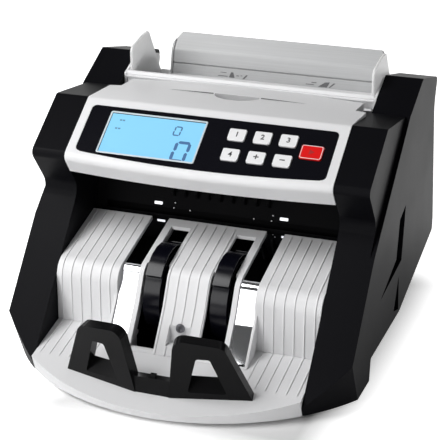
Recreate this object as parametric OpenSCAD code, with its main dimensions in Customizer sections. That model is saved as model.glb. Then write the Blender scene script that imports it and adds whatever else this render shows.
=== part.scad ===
// Desktop banknote counter: hopper at the top, stacker pocket at the front.
// Millimetres, +Z up, the front faces -Y, the origin is on the table under the middle.

/* [Overall] */
// Clear width between the side covers
stack_w = 194.4; // [180:0.1:210]
// Width of a side cover
cover_w = 27.8; // [24:0.1:34]
// Wall thickness of the mouldings
wall = 2.5; // [1.8:0.1:3.2]
// Gap between mouldings that meet edge to edge
seam = 0.3; // [0.15:0.05:0.5]
// Height of the rubber feet
foot_h = 2.5; // [1.5:0.1:5]
// Radius of the rubber feet
foot_r = 7; // [4:0.5:10]

/* [Front rim] */
// Radius of the curved front at its bottom edge
rim_r = 145; // [138:1:152]
// Centre of the curved front behind the middle of the part
rim_y = 5.5; // [0:0.5:10]
// How far the front flares out for each millimetre of height
rim_flare = 0.28; // [0.1:0.02:0.34]
// Slope of the stacker floor
floor_angle = 12.5; // [10:0.5:14]

/* [Side covers] */
// Place of the nose, the lower edge of the display slope, along Y
nose_y = -46.5; // [-52:0.5:-42]
// Height of the nose
nose_z = 140.5; // [134:0.5:146]
// Slope of the display panel
panel_angle = 35; // [30:0.5:39]
// Length of the display slope on the side covers
panel_len = 53.7; // [50:0.1:58]
// Depth of the step above the display
step_depth = 50.5; // [47:0.5:54]
// How far the step falls towards the back
step_drop = 6; // [2:0.5:9]
// Slope of the riser behind the step
riser_angle = 26.5; // [20:0.5:32]
// Length of the riser
riser_len = 40; // [34:0.5:46]
// How far the top of the covers falls towards the back
top_drop = 11; // [6:0.5:15]
// How far the nose stands in front of the notch
notch_in = 23; // [19:0.5:27]
// Height of the nose above the notch
notch_drop = 30.5; // [26:0.5:34]
// Slope of the front legs
leg_angle = 51; // [47:0.5:56]
// Height where the outer wall bends away from the leg
bend_z = 92; // [84:1:100]
// How far the nose block is set in from the outer wall
nose_inset = 3; // [1:0.1:5]
// Height of the bottom edge behind the heel
heel_z = 18.5; // [12:0.5:24]
// Height of the bottom edge at the back
tail_z = 47; // [40:1:54]
// Depth of the pressed grooves in the outer wall
groove_d = 4; // [0.5:0.1:5]

/* [Display panel] */
// Thickness of the printed overlay
overlay_t = 0.8; // [0.5:0.1:1.2]
// Margin of the overlay from the side covers
overlay_in = 6.4; // [5:0.1:10]
// Top edge of the overlay, down from the step
overlay_top = 6.6; // [5:0.1:9]
// Height of the overlay at its two ends
overlay_h = 40.4; // [39:0.1:42]
// Bow of the lower edge of the overlay
overlay_bow = 4.5; // [2:0.1:6]
// Width of the display glass
lcd_w = 72.5; // [60:0.5:74]
// Height of the display glass
lcd_h = 36.5; // [30:0.5:37]
// Width of a white key
key_w = 12.2; // [9:0.1:13.5]
// Height of a white key
key_h = 10; // [7:0.1:11]
// Spacing of the keys along the panel
key_pitch_x = 18.4; // [17:0.1:20]
// Spacing of the two rows of keys
key_pitch_y = 16.9; // [13:0.1:18]
// Width of the start key
start_w = 15.4; // [12:0.1:16]
// Height of the start key
start_h = 11.4; // [9:0.1:14]
// How far the keys stand above the overlay
key_rise = 1; // [0.8:0.1:2]
// Travel of a key
key_travel = 0.8; // [0.4:0.1:1]

/* [Stacker] */
// Front face of the chute wall along Y
chute_y = -64; // [-68:0.5:-62]
// Foot of the centre chute along Y
centre_foot_y = -85; // [-88:0.5:-82]
// Back edge of the chute shelf along Y
shelf_y = 0; // [-3:0.5:2]
// Height of the back edge of the chute shelf
shelf_z = 85.5; // [82:0.5:90]
// Slope of the chute shelf
shelf_angle = 16; // [12:0.5:19]
// Radius of the fold between shelf and wall
fold_r = 14; // [8:0.5:18]
// Half width of the centre chute
centre_hw = 37; // [35:0.5:40]
// Width of the slots that hold the bright guide strips
strip_slot = 13.4; // [10:0.1:16]
// Spacing of the chute ribs
rib_pitch = 7.3; // [6:0.1:9]
// Height of the chute ribs
rib_h = 0.6; // [0.4:0.1:1]
// Height of the stacker stops above the floor
stop_h = 48; // [42:1:52]
// Width of a stop at the floor
stop_w = 57; // [52:1:62]
// Width of a stop at its top
stop_top_w = 33; // [28:1:38]
// Depth of the stops from front to back
stop_depth = 8; // [6:0.5:10]
// Thickness of the walls of the stops
stop_t = 2.4; // [1.8:0.1:3]
// Turn of each stop to follow the rim
stop_yaw = 12; // [8:0.5:16]
// Forward lean of the stops
stop_lean = 12.5; // [8:0.5:16]

/* [Hopper] */
// Height of the front rail
rail_z = 173.5; // [172:0.5:175]
// Front of the rail along Y
rail_y = 60.6; // [59:0.1:62]
// Slope of the hopper floor, which falls towards the front
tray_angle = 8; // [6:0.5:10]
// Gap between the back plate and the side covers
plate_in = 11.4; // [9:0.1:18]
// Height of the back plate's foot
plate_z = 156.5; // [154:0.5:158]
// Height of the note guides
guide_z = 195.7; // [190:0.1:200]
// Thickness of the note guides
guide_t = 2; // [1.5:0.1:2.5]
// How far a note guide slides inwards
guide_travel = 25; // [10:1:30]

/* [Drive] */
// Radius of the shafts
shaft_r = 4; // [3:0.1:4.5]
// Running clearance of the shafts in their bearings
run_gap = 0.05; // [0.02:0.01:0.1]
// Feed shaft along Y
feed_y = 45; // [42:0.5:48]
// Height of the feed shaft
feed_z = 112; // [108:0.5:114]
// Radius of the feed rollers
feed_r = 17; // [13:0.5:18]
// Pickup shaft along Y
pickup_y = 80; // [78:0.5:82]
// Radius of the pickup wheels
pickup_r = 16; // [14:0.5:17]
// How far the pickup wheels stand above the hopper floor
pickup_rise = 1.1; // [0.5:0.1:2]
// Impeller shaft along Y
impeller_y = -34; // [-35:0.5:-32]
// Height of the impeller shaft
impeller_z = 48; // [47:0.5:50]
// Radius over the impeller blades
impeller_r = 34; // [30:0.5:34.5]
// Width of an impeller
impeller_w = 12; // [8:0.5:12.5]
// Distance of the impellers from the middle
impeller_x = 24.6; // [23.6:0.2:25.6]
// Number of blades on an impeller
blades = 4; // [3:1:6]
// Motor along Y
motor_y = 85; // [82:0.5:88]
// Height of the motor
motor_z = 45; // [43:0.5:50]
// Radius of the motor
motor_r = 20; // [16:0.5:22]
// Length of the motor
motor_len = 48; // [40:1:52]
// Thickness of the frame plates
frame_t = 1.5; // [1:0.1:2]

/* [Hidden] */
$fn = 48;

inner_x = stack_w / 2;
half_w = inner_x + cover_w;
nose_x = half_w - nose_inset;
fit_x = inner_x - seam;

// Small vector helpers for outlines in the Y-Z plane
function along(p, length, angle) = p + length * [cos(angle), sin(angle)];
function unit(v) = v / norm(v);
function left_of(v) = [-v.y, v.x];
function flat(p) = [p.x, p.y];
function sharp(p) = [p.x, p.y, 0];
function before(pts, i) = flat(pts[(i + len(pts) - 1) % len(pts)]);
function after(pts, i) = flat(pts[(i + 1) % len(pts)]);

// An outline's corner moved inwards by t along both of its edges
function inset_point(a, b, c, t) =
  let (n1 = left_of(unit(b - a)), n2 = left_of(unit(c - b)))
  b + t * (n1 + n2) / (1 + n1 * n2);
// A closed outline of [y, z, corner radius], counter-clockwise, drawn in by t
function inset(pts, t) = [
  for (i = [0 : len(pts) - 1])
    let (a = before(pts, i), b = flat(pts[i]), c = after(pts, i), q = inset_point(a, b, c, t))
    [q.x, q.y, pts[i].z > 0 ? max(pts[i].z + (cross(b - a, c - b) > 0 ? -t : t), 0) : 0]
];
// The points of one rounded corner
function corner(a, b, c, r, n) =
  let (
    u = unit(a - b),
    v = unit(c - b),
    half = acos(u * v) / 2,
    centre = b + unit(u + v) * r / sin(half),
    s = b + u * r / tan(half) - centre,
    e = b + v * r / tan(half) - centre,
    start = atan2(s.y, s.x),
    sweep = atan2(cross(s, e), s * e)
  )
  [for (k = [0 : n]) along(centre, r, start + sweep * k / n)];
// A closed outline with its corners rounded
function rounded(pts, n = 5) = [
  for (i = [0 : len(pts) - 1])
    each (pts[i].z > 0 ? corner(before(pts, i), flat(pts[i]), after(pts, i), pts[i].z, n) : [flat(pts[i])])
];
function rectangle(w, h, r) = [
  [-w / 2, -h / 2, r], [w / 2, -h / 2, r], [w / 2, h / 2, r], [-w / 2, h / 2, r],
];

// An outline drawn in Y and Z, carried along X from x0 to x1
module slab(x0, x1) {
  translate([x0, 0, 0]) rotate([90, 0, 90]) linear_extrude(x1 - x0) children();
}
// A round bar along X
module bar(y, z, x0, x1, r) {
  translate([x0, y, z]) rotate([0, 90, 0]) cylinder(h = x1 - x0, r = r);
}
// The curved, flared front that the base and the covers share
module rim_cone(grow) {
  cone_h = 210;
  translate([0, rim_y, foot_h])
    cylinder(h = cone_h, r1 = rim_r + grow, r2 = rim_r + grow + rim_flare * cone_h, $fn = 160);
  translate([-half_w - 5, rim_y - 20, foot_h]) cube([2 * half_w + 10, 200, cone_h]);
}

// Stacker floor: a plane through the foot of the chute wall
floor_foot_z = 24.5;
floor_slope = tan(floor_angle);
function floor_z(y) = floor_foot_z + (y - chute_y) * floor_slope;
// Foremost point of the rim, where the floor meets the flared front
front_y = (rim_y - rim_r - rim_flare * (floor_foot_z - chute_y * floor_slope - foot_h))
  / (1 + rim_flare * floor_slope);
back_y = -front_y;

// Side cover outline
nose = [nose_y, nose_z];
step_front = along(nose, panel_len, panel_angle);
step_back = step_front + [step_depth, -step_drop];
top_front = along(step_back, riser_len, riser_angle);
top_back = [back_y - 9.5, top_front.y - top_drop];
notch = nose + [notch_in, -notch_drop];
function leg_y(z) = notch.x - (notch.y - z) / tan(leg_angle);
heel_y = -39;
belly_z = heel_z + 1.5;
dip = [back_y - 16, top_back.y - 20];
wall_outline = [
  [leg_y(foot_h), foot_h, 0],
  [heel_y, foot_h, 0],
  [heel_y + 2, heel_z, 2],
  [41, belly_z, 20],
  [back_y - 0.5, tail_z, 3],
  [back_y, tail_z + 10, 4],
  [dip.x, dip.y, 30],
  [top_back.x, top_back.y, 4],
  [top_front.x, top_front.y, 3],
  [step_back.x, step_back.y, 4],
  [leg_y(bend_z), bend_z, 10],
];
// The nose block stands in front of the wall and runs back into it
nose_back = step_back.x + 8;
nose_low = bend_z - 6;
nose_wall = wall + 0.2;
nose_outline = [
  [leg_y(nose_low), nose_low, 0],
  [notch.x + 30, nose_low, 0],
  [nose_back, step_back.y - 30, 0],
  [nose_back, step_back.y - 8 * step_drop / step_depth, 0],
  [step_front.x, step_front.y, 4],
  [nose.x, nose.y, 5],
  [notch.x, notch.y, 11],
];
// Opening in the inner wall of a cover, behind the chutes, for the shafts
cover_window = [
  [chute_y + 6, 26], [chute_y + 6, 58], [chute_y + 14, 64], [shelf_y, 78], [14, 90], [18, 126],
  [32, 138], [110, 146], [122, 64], [110, 46], [85, 39], [40, 27],
];
// Pressed groove beside the leg, and the short one under it
groove_main = [
  [47, 100.5, 0], [31, 95, 0], [25, 67, 0], [-16, 53, 0], [41, 60.5, 0], [45.5, 89.5, 0],
];
groove_low = [[35, 50.5, 0], [24, 27, 0], [38, 23, 0]];
// The wall follows the grooves inside the cover
module groove_backs() {
  slab(half_w - groove_d - wall, half_w)
    intersection() {
      union() {
        polygon(rounded(inset(groove_main, -wall)));
        polygon(rounded(inset(groove_low, -wall)));
      }
      translate([-20, 20]) square([72, 85]);
    }
}
// A lug on the inner wall closes the cut corner of the top cover from below
function step_z(y) = step_front.y - (y - step_front.x) * step_drop / step_depth;
corner_w = 8.2;
corner_y = 34;
corner_slant = 2.4;
module corner_lug() {
  y0 = corner_y + corner_slant + 0.6;
  y1 = rail_y - 2.4;
  slab(inner_x - corner_w + 0.1, inner_x + 1)
    polygon([[y0, step_z(y0) - 4], [y1, step_z(y1) - 4], [y1, step_z(y1) - 1], [y0, step_z(y0) - 1]]);
}

module side_cover() {
  corner_lug();
  difference() {
    intersection() {
      union() {
        slab(inner_x, half_w) polygon(rounded(wall_outline));
        slab(inner_x, nose_x) polygon(rounded(nose_outline));
      }
      rim_cone(0);
    }
    difference() {
      intersection() {
        union() {
          slab(inner_x + wall, half_w - wall) polygon(rounded(inset(wall_outline, wall)));
          slab(inner_x + wall, nose_x - wall) polygon(rounded(inset(nose_outline, nose_wall)));
        }
        rim_cone(-wall);
      }
      groove_backs();
    }
    slab(inner_x - 1, inner_x + wall + 1) polygon(cover_window);
    slab(half_w - groove_d, half_w + 1) polygon(rounded(groove_main));
    slab(half_w - groove_d, half_w + 1) polygon(rounded(groove_low));
  }
}
module right_side_cover() { color("#2b2b30") side_cover(); }
module left_side_cover() { color("#2b2b30") mirror([1, 0, 0]) side_cover(); }

// Base tray: bottom, side walls, and the wedge that carries the stacker floor
base_back = back_y - 5;
tray_wall_z = 30;
wedge_y = chute_y + wall + 0.5;
rib_in = 6;
side_chute_x = centre_hw + strip_slot;
side_ribs = floor((fit_x - side_chute_x - rib_in - 1) / rib_pitch) + 1;
module floor_ribs() {
  for (side = [-1, 1], i = [0 : side_ribs - 1])
    translate([side * (side_chute_x + rib_in + i * rib_pitch), 0, 0])
      slab(-0.4, 0.4)
        polygon([
          [front_y + 38, floor_z(front_y + 38)], [chute_y - 1, floor_z(chute_y - 1)],
          [chute_y - 1, floor_z(chute_y - 1) + rib_h], [front_y + 40, floor_z(front_y + 40) + rib_h],
        ]);
}
module base_tray() {
  color("#ededf0") {
    difference() {
      intersection() {
        slab(-fit_x, fit_x)
          polygon(rounded([
            [front_y - 5, foot_h, 0], [base_back - 14, foot_h, 0], [base_back, foot_h + 14, 0],
            [base_back, tray_wall_z, 0], [wedge_y, tray_wall_z, 0], [wedge_y, floor_z(wedge_y), 0],
            [front_y - 5, floor_z(front_y - 5), 0],
          ]));
        rim_cone(0);
      }
      slab(-fit_x + wall, fit_x - wall)
        polygon([
          [wedge_y - 4, foot_h + wall], [base_back - 15, foot_h + wall], [base_back - wall, foot_h + 15],
          [base_back - wall, tray_wall_z + 1], [wedge_y - 1, tray_wall_z + 1],
          [wedge_y - 1, floor_z(wedge_y) - wall], [wedge_y - 4, floor_z(wedge_y) - wall - 1],
        ]);
      slab(-centre_hw + 1, centre_hw - 1)
        polygon([
          [centre_foot_y + 3, foot_h + wall], [wedge_y + 1, foot_h + wall], [wedge_y + 1, tray_wall_z],
          [centre_foot_y + 3, tray_wall_z],
        ]);
    }
    floor_ribs();
  }
}

// Rubber feet under the four corners of the base
foot_x = fit_x - foot_r - 8;
module rubber_feet() {
  color("#1c1c1c")
    for (x = [-foot_x, foot_x], y = [front_y + 62, base_back - 30])
      translate([x, y, 0]) cylinder(h = foot_h, r1 = foot_r - 1, r2 = foot_r);
}

// Chutes: an open line of [y, z, corner radius] from the floor up over the fold to the shelf
shelf_slope = tan(shelf_angle);
function shelf_top(y) = shelf_z + (y - shelf_y) * shelf_slope;
foot_gap = 0.2;
// The same line moved outwards by d, with its corners rounded
function moved_end(p, q, d) = flat(p) + d * left_of(unit(flat(q) - flat(p)));
function moved_corner(pts, i, d) =
  let (a = flat(pts[i - 1]), b = flat(pts[i]), c = flat(pts[i + 1]))
  concat(inset_point(a, b, c, d), pts[i].z + (cross(b - a, c - b) < 0 ? d : -d));
function moved(pts, d) =
  let (
    n = len(pts) - 1,
    first = moved_end(pts[0], pts[1], d),
    last = flat(pts[n]) + d * left_of(unit(flat(pts[n]) - flat(pts[n - 1]))),
    mid = [for (i = [1 : n - 1]) moved_corner(pts, i, d)],
    line = concat([first], mid, [last])
  )
  concat(
    [first],
    [for (i = [1 : n - 1]) each corner(flat(line[i - 1]), flat(line[i]), flat(line[i + 1]), line[i].z, 6)],
    [last]
  );
function reversed(pts) = [for (i = [len(pts) - 1 : -1 : 0]) pts[i]];
// The closed outline between two such lines
function skin(pts, d0, d1) = concat(moved(pts, d0), reversed(moved(pts, d1)));
function side_line(y_end) = [
  [chute_y, floor_z(chute_y) + foot_gap, 0], [chute_y, shelf_top(chute_y), fold_r],
  [y_end, shelf_top(y_end), 0],
];
// The centre chute sweeps forward to its foot
sweep_mid = [chute_y - 2, shelf_z - 38.5];
fold_y = chute_y + 9;
function centre_line(y_end) = [
  [centre_foot_y, floor_z(centre_foot_y) + foot_gap, 0], [sweep_mid.x, sweep_mid.y, 60],
  [fold_y, shelf_top(fold_y), fold_r], [y_end, shelf_top(y_end), 0],
];
web_d = 11;
// Everything under the stacker floor, to cut the feet of the chutes flat
module under_floor() {
  slab(-half_w, half_w)
    polygon([
      [centre_foot_y - 9, floor_z(centre_foot_y - 9) + foot_gap], [centre_foot_y - 9, -20], [0, -20],
      [0, floor_z(chute_y + 9)], [chute_y + 4, floor_z(chute_y + 4) + foot_gap],
    ]);
}
module chute_body(line, x0, x1) {
  slab(x0, x1) polygon(skin(line, 0, -wall));
}
module chute_web(line, x) {
  slab(x, x + 2) polygon(skin(line, 0, -web_d));
}
module chute_ribs(line, first, count) {
  for (i = [0 : count - 1])
    translate([first + i * rib_pitch, 0, 0]) slab(-0.4, 0.4) polygon(skin(line, rib_h, -wall / 2));
}
// A side chute also has the cheek that closes the swept centre beside it
module side_chute() {
  difference() {
    union() {
      chute_body(side_line(shelf_y), side_chute_x, fit_x);
      chute_web(side_line(shelf_y), side_chute_x);
      chute_ribs(side_line(shelf_y - 3), side_chute_x + rib_in, side_ribs);
      chute_web(centre_line(shelf_y), side_chute_x);
    }
    under_floor();
  }
}
module right_chute() { color("#ededf0") side_chute(); }
module left_chute() { color("#ededf0") mirror([1, 0, 0]) side_chute(); }

// Slots for the impellers, and the sunk seat of the fixing screw
slot_w = impeller_w + 2.5;
slot_wide = impeller_w + 5.6;
slot_top_y = shelf_y - 8;
slot_fold_y = fold_y + 6;
slot_foot_z = floor_z(centre_foot_y) + 2;
screw_y = centre_foot_y + 12.5;
screw_z = floor_foot_z + 12;
seat_w = 16;
module impeller_slot(x) {
  translate([x, 0, 0]) {
    slab(-slot_w / 2, slot_w / 2)
      polygon([
        [slot_fold_y - 1, shelf_top(slot_fold_y) - 20], [slot_top_y, shelf_top(slot_top_y) - 20],
        [slot_top_y, shelf_z + 9], [slot_fold_y - 1, shelf_z + 9],
      ]);
    slab(-slot_wide / 2, slot_wide / 2)
      polygon([
        [centre_foot_y - 9, slot_foot_z], [slot_fold_y, slot_foot_z], [slot_fold_y, shelf_z + 9],
        [centre_foot_y - 9, shelf_z + 9],
      ]);
  }
}
// The seat is a level-backed pocket, open to the front and down to the foot
seat_outline = [
  [centre_foot_y - 9, floor_foot_z + 1], [screw_y, floor_foot_z + 1], [screw_y, screw_z + 8],
  [centre_foot_y - 9, screw_z + 8],
];
seat_shell = [
  [screw_y - 11, floor_foot_z - 1], [screw_y + 2, floor_foot_z - 1], [screw_y + 2, screw_z + 10],
  [screw_y - 2, screw_z + 10],
];
module centre_chute() {
  color("#ededf0")
    difference() {
      union() {
        difference() {
          union() {
            chute_body(centre_line(shelf_y), -centre_hw, centre_hw);
            chute_ribs(centre_line(shelf_y - 3), -2 * rib_pitch, 5);
          }
          impeller_slot(-impeller_x);
          impeller_slot(impeller_x);
        }
        chute_web(centre_line(shelf_y), -centre_hw);
        chute_web(centre_line(shelf_y), centre_hw - 2);
        intersection() {
          slab(-seat_w / 2 - 1.5, seat_w / 2 + 1.5) polygon(seat_shell);
          slab(-centre_hw, centre_hw) polygon(skin(centre_line(shelf_y), 0, -40));
        }
      }
      slab(-seat_w / 2, seat_w / 2) polygon(seat_outline);
      under_floor();
      translate([0, screw_y + 6, screw_z]) rotate([90, 0, 0]) cylinder(h = 9, r = 1.6);
    }
}
module chute_screw() {
  color("silver")
    translate([0, screw_y, screw_z]) rotate([90, 0, 0])
      difference() {
        union() {
          cylinder(h = 2.2, r1 = 3.4, r2 = 2.6);
          translate([0, 0, -5]) cylinder(h = 5, r = 1.55);
        }
        for (a = [0, 90]) rotate([0, 0, a]) translate([-2, -0.4, 1.2]) cube([4, 0.8, 2]);
      }
}

// Bright guide strips in the two outer slots, from the back of the shelf over the fold to the floor
strip_d = 1.5;
strip_t = 0.8;
module guide_strip() {
  difference() {
    slab(centre_hw + seam, side_chute_x - seam)
      polygon(skin(centre_line(shelf_y - 0.5), -strip_d, -strip_d - strip_t));
    under_floor();
  }
}
module right_guide_strip() { color("#d8dadd") guide_strip(); }
module left_guide_strip() { color("#d8dadd") mirror([1, 0, 0]) guide_strip(); }

// Stacker stop: two open A-shaped mouldings, hollow behind, on one bar along the rim
stop_in_x = 11.9;
stop_y = front_y + 16.5;
stop_sink = 4;
stop_outline = [
  [-0.5, -stop_sink, 0], [stop_w + 1.5, -stop_sink, 0], [5 + stop_top_w, stop_h - 4, 8], [5, stop_h, 7],
];
sill = 6;
sill_rise = 8;
window_outline = [[13, sill, 1.5], [39, sill, 1.5], [28.5, 34, 2], [19.5, 34, 2]];
module stop_window() {
  difference() {
    translate([0, 0, -1]) linear_extrude(stop_depth + 2) polygon(rounded(window_outline));
    slab(0, stop_w)
      polygon([[sill - 2, stop_depth], [sill, stop_depth], [sill + sill_rise, 0], [sill - 2, 0]]);
  }
}
module stop_moulding() {
  translate([stop_in_x, stop_y, floor_z(stop_y)]) rotate([90 + stop_lean, 0, stop_yaw])
    translate([0, 0, -stop_depth]) difference() {
      linear_extrude(stop_depth) polygon(rounded(stop_outline));
      translate([0, 0, -1]) linear_extrude(stop_depth + 1 - stop_t) difference() {
        polygon(rounded(inset(stop_outline, stop_t)));
        polygon(rounded(inset(window_outline, -stop_t)));
      }
      stop_window();
    }
}
module stacker_stop() {
  color("#3a3a3c")
    difference() {
      union() {
        stop_moulding();
        mirror([1, 0, 0]) stop_moulding();
        translate([-stop_in_x - 2.5, stop_y + 0.5, floor_z(stop_y) - 3]) cube([2 * stop_in_x + 5, 6, 15]);
        translate([-2, stop_y + 2, floor_z(stop_y) + 11]) cube([4, 3, 3]);
      }
      slab(-half_w, half_w)
        polygon([
          [front_y - 9, floor_z(front_y - 9) + 0.05], [front_y - 9, -20], [chute_y, -20],
          [chute_y, floor_z(chute_y) + 0.05],
        ]);
    }
}

// Top cover: white shell with the display slope in front and the top behind it
bow = 4;
lip_h = 15.5;
lip_edge = 5;
panel_in = [sin(panel_angle), -cos(panel_angle)];
panel_end = along(nose, -bow - 1, panel_angle);
top_y = rail_y - 2;
top_z = step_front.y - 2.8;
function top_outline(extra) =
  let (low = panel_end + panel_in * (lip_h + extra))
  [
    [low.x, low.y, 0], [top_y, top_z - 11 - extra, 0], [top_y, top_z, 1], [step_front.x, step_front.y, 5],
    [panel_end.x, panel_end.y, 0],
  ];
bow_r = (fit_x * fit_x + bow * bow) / (2 * bow);
module on_panel() {
  translate([0, step_front.x, step_front.y]) rotate([panel_angle, 0, 0]) children();
}
// The bowed front of the panel: a large disc square to the panel, with a rounded edge
module bowed_front(grow) {
  r = bow_r + grow;
  e = lip_edge + grow;
  on_panel() translate([0, bow_r - panel_len - bow, grow])
    rotate_extrude($fn = 360)
      polygon(concat(
        [[0, 0], [0, -150], [r, -150]],
        [for (a = [0 : 15 : 90]) [r - e + e * cos(a), e * sin(a) - e]]
      ));
}
overlay_hw = fit_x - overlay_in;
overlay_r = 3.5;
start_x = overlay_hw - 14.7;
start_v = 26.3;
keys_x = overlay_hw - 69.5;
keys_v = 18.9;
keys_edge = keys_x - key_w / 2;
lcd_x = (keys_edge - overlay_hw) / 2 - 0.9;
lcd_v = overlay_top + 3.7 + lcd_h / 2;
key_slack = 0.7;
key_places = [for (row = [0, 1], i = [0 : 2]) [keys_x + i * key_pitch_x, -keys_v - row * key_pitch_y]];
// Outline of the overlay on the panel, grown by d: a straight top and a bowed lower edge
function overlay_outline(d) =
  let (
    hw = overlay_hw + d,
    low = -overlay_top - overlay_h - d,
    r = (hw * hw + overlay_bow * overlay_bow) / (2 * overlay_bow),
    sweep = asin((hw - overlay_r) / r)
  )
  concat(
    [for (k = [-6 : 6]) [r * sin(k / 6 * sweep), low - overlay_bow + r - r * cos(k / 6 * sweep)]],
    corner([0, low], [hw, low], [hw, 0], overlay_r, 4),
    corner([hw, low], [hw, d - overlay_top], [0, d - overlay_top], overlay_r, 4),
    corner([0, d - overlay_top], [-hw, d - overlay_top], [-hw, low], overlay_r, 4),
    corner([-hw, 0], [-hw, low], [0, low], overlay_r, 4)
  );
module key_holes(slack) {
  for (p = key_places) translate(p) polygon(rounded(rectangle(key_w + slack, key_h + slack, 1.8)));
  translate([start_x, -start_v]) polygon(rounded(rectangle(start_w + slack, start_h + slack, 1.6)));
}
post_d = 5;
post_x = overlay_hw - 6.5;
post_mid = (lcd_x + lcd_w / 2 + keys_edge) / 2;
function top_at(y) = top_z + (step_front.y - top_z) * (top_y - y) / (top_y - step_front.x);
// Behind the crease the top is crowned: part of a wide cylinder that rises a little to the back
crease_y = 40;
crown_r = 1600;
crown_rise = 0.9;
crown_tilt = 1.8;
module crown() {
  intersection() {
    slab(corner_w - fit_x, fit_x - corner_w)
      polygon([
        [crease_y, top_at(crease_y) - 1], [top_y, top_z - 1], [top_y, top_z + 9],
        [crease_y, top_at(crease_y) + 9],
      ]);
    translate([0, crease_y, top_at(crease_y) + crown_rise]) rotate([crown_tilt - 90, 0, 0])
      translate([0, crown_r, -40]) cylinder(h = 120, r = crown_r, $fn = 720);
  }
}
// Finger scoop in front of the crease, deepest at the crease, with a thicker wall under it
scoop_d = 3.2;
scoop_len = 12;
scoop_hw = 17.7;
scoop_r = (scoop_hw * scoop_hw + scoop_len * scoop_len) / (2 * scoop_len);
module scoop() {
  front = crease_y - scoop_len;
  intersection() {
    slab(-scoop_hw - 1, scoop_hw + 1)
      polygon([
        [crease_y, top_z + 9], [crease_y, top_at(crease_y) - scoop_d], [front, top_at(front)],
        [front, top_z + 9],
      ]);
    translate([0, front + scoop_r, top_z - 10]) cylinder(h = 30, r = scoop_r);
  }
}
module scoop_back() {
  slab(-scoop_hw - wall, scoop_hw + wall)
    polygon([
      [crease_y - scoop_len, top_at(crease_y) - 1], [crease_y, top_at(crease_y) - scoop_d - wall],
      [crease_y + wall, top_at(crease_y) - scoop_d - wall], [crease_y + wall, top_at(crease_y) - 1],
    ]);
}
// Walls along the cut corners
module corner_wall() {
  slab(fit_x - corner_w - wall, fit_x - corner_w)
    polygon([
      [corner_y, top_z - 8], [top_y, top_z - 8], [top_y, top_z - 1], [corner_y, top_at(corner_y) - 1],
    ]);
}
module top_cover() {
  color("#ededf0")
    difference() {
      union() {
        difference() {
          intersection() {
            slab(-fit_x, fit_x) polygon(rounded(top_outline(0)));
            bowed_front(0);
          }
          intersection() {
            slab(-fit_x + wall, fit_x - wall) polygon(rounded(inset(top_outline(14), wall)));
            bowed_front(-wall);
          }
        }
        on_panel()
          for (x = [-post_x, post_mid, post_x], v = [overlay_top + 5.4, overlay_top + overlay_h - 3])
            translate([x, -v, -wall - post_d]) cylinder(h = post_d + 0.5, r = 2.6);
        crown();
        scoop_back();
        corner_wall();
        mirror([1, 0, 0]) corner_wall();
      }
      for (side = [0, 1])
        mirror([side, 0, 0]) translate([0, 0, step_front.y - 40]) linear_extrude(60)
          polygon([
            [fit_x + 1, corner_y], [fit_x + 1, top_y + 1], [fit_x - corner_w, top_y + 1],
            [fit_x - corner_w, corner_y + corner_slant], [fit_x, corner_y],
          ]);
      scoop();
      on_panel() translate([0, 0, -overlay_t]) linear_extrude(9) polygon(overlay_outline(0.2));
      on_panel() translate([0, 0, -9]) linear_extrude(18) {
        key_holes(key_slack);
        translate([lcd_x, -lcd_v]) square([lcd_w + 1, lcd_h + 1], center = true);
      }
    }
}
module keypad_overlay() {
  color("#17181c")
    on_panel() translate([0, 0, -overlay_t]) linear_extrude(overlay_t) difference() {
      polygon(overlay_outline(0));
      key_holes(key_slack);
      translate([lcd_x, -lcd_v]) square([lcd_w - 2, lcd_h - 2], center = true);
    }
}
board_w = -wall - post_d;
board_t = 1.6;
module lcd_display() {
  color("#92e1ff")
    on_panel() translate([lcd_x, -lcd_v, 0]) {
      translate([-lcd_w / 2, -lcd_h / 2, board_w]) cube([lcd_w, lcd_h, -board_w - overlay_t]);
      translate([-lcd_w / 2 + 1.2, -lcd_h / 2 + 1.2, -overlay_t - 0.1])
        cube([lcd_w - 2.4, lcd_h - 2.4, overlay_t - 0.1]);
    }
}
switch_h = 1.3;
module main_board() {
  color("#2e6b3f")
    on_panel() {
      translate([2.5 - overlay_hw, -overlay_top - overlay_h, board_w - board_t])
        cube([2 * overlay_hw - 5, overlay_h - 2.4, board_t]);
      for (p = concat(key_places, [[start_x, -start_v]]))
        translate([p.x - 3, p.y - 3, board_w]) cube([6, 6, switch_h]);
    }
}
// A key: a crowned cap over a stem that ends just above its switch
module key(place, w, h) {
  stem = -board_w - switch_h - key_travel - 0.3;
  on_panel() translate([place.x, place.y, 0]) {
    difference() {
      translate([0, 0, -wall]) linear_extrude(wall + key_rise) polygon(rounded(rectangle(w, h, 1.6)));
      for (side = [-1, 1])
        translate([0, side * h / 2, key_rise]) rotate([45, 0, 0]) cube([w + 2, 0.6, 0.6], center = true);
    }
    translate([0, 0, -stem]) cylinder(h = stem, r = 2.4);
  }
}
module key_1() { color("white") key(key_places[0], key_w, key_h); }
module key_2() { color("white") key(key_places[1], key_w, key_h); }
module key_3() { color("white") key(key_places[2], key_w, key_h); }
module key_4() { color("white") key(key_places[3], key_w, key_h); }
module key_5() { color("white") key(key_places[4], key_w, key_h); }
module key_6() { color("white") key(key_places[5], key_w, key_h); }
module start_key() { color("#e11414") key([start_x, -start_v], start_w, start_h); }

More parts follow.
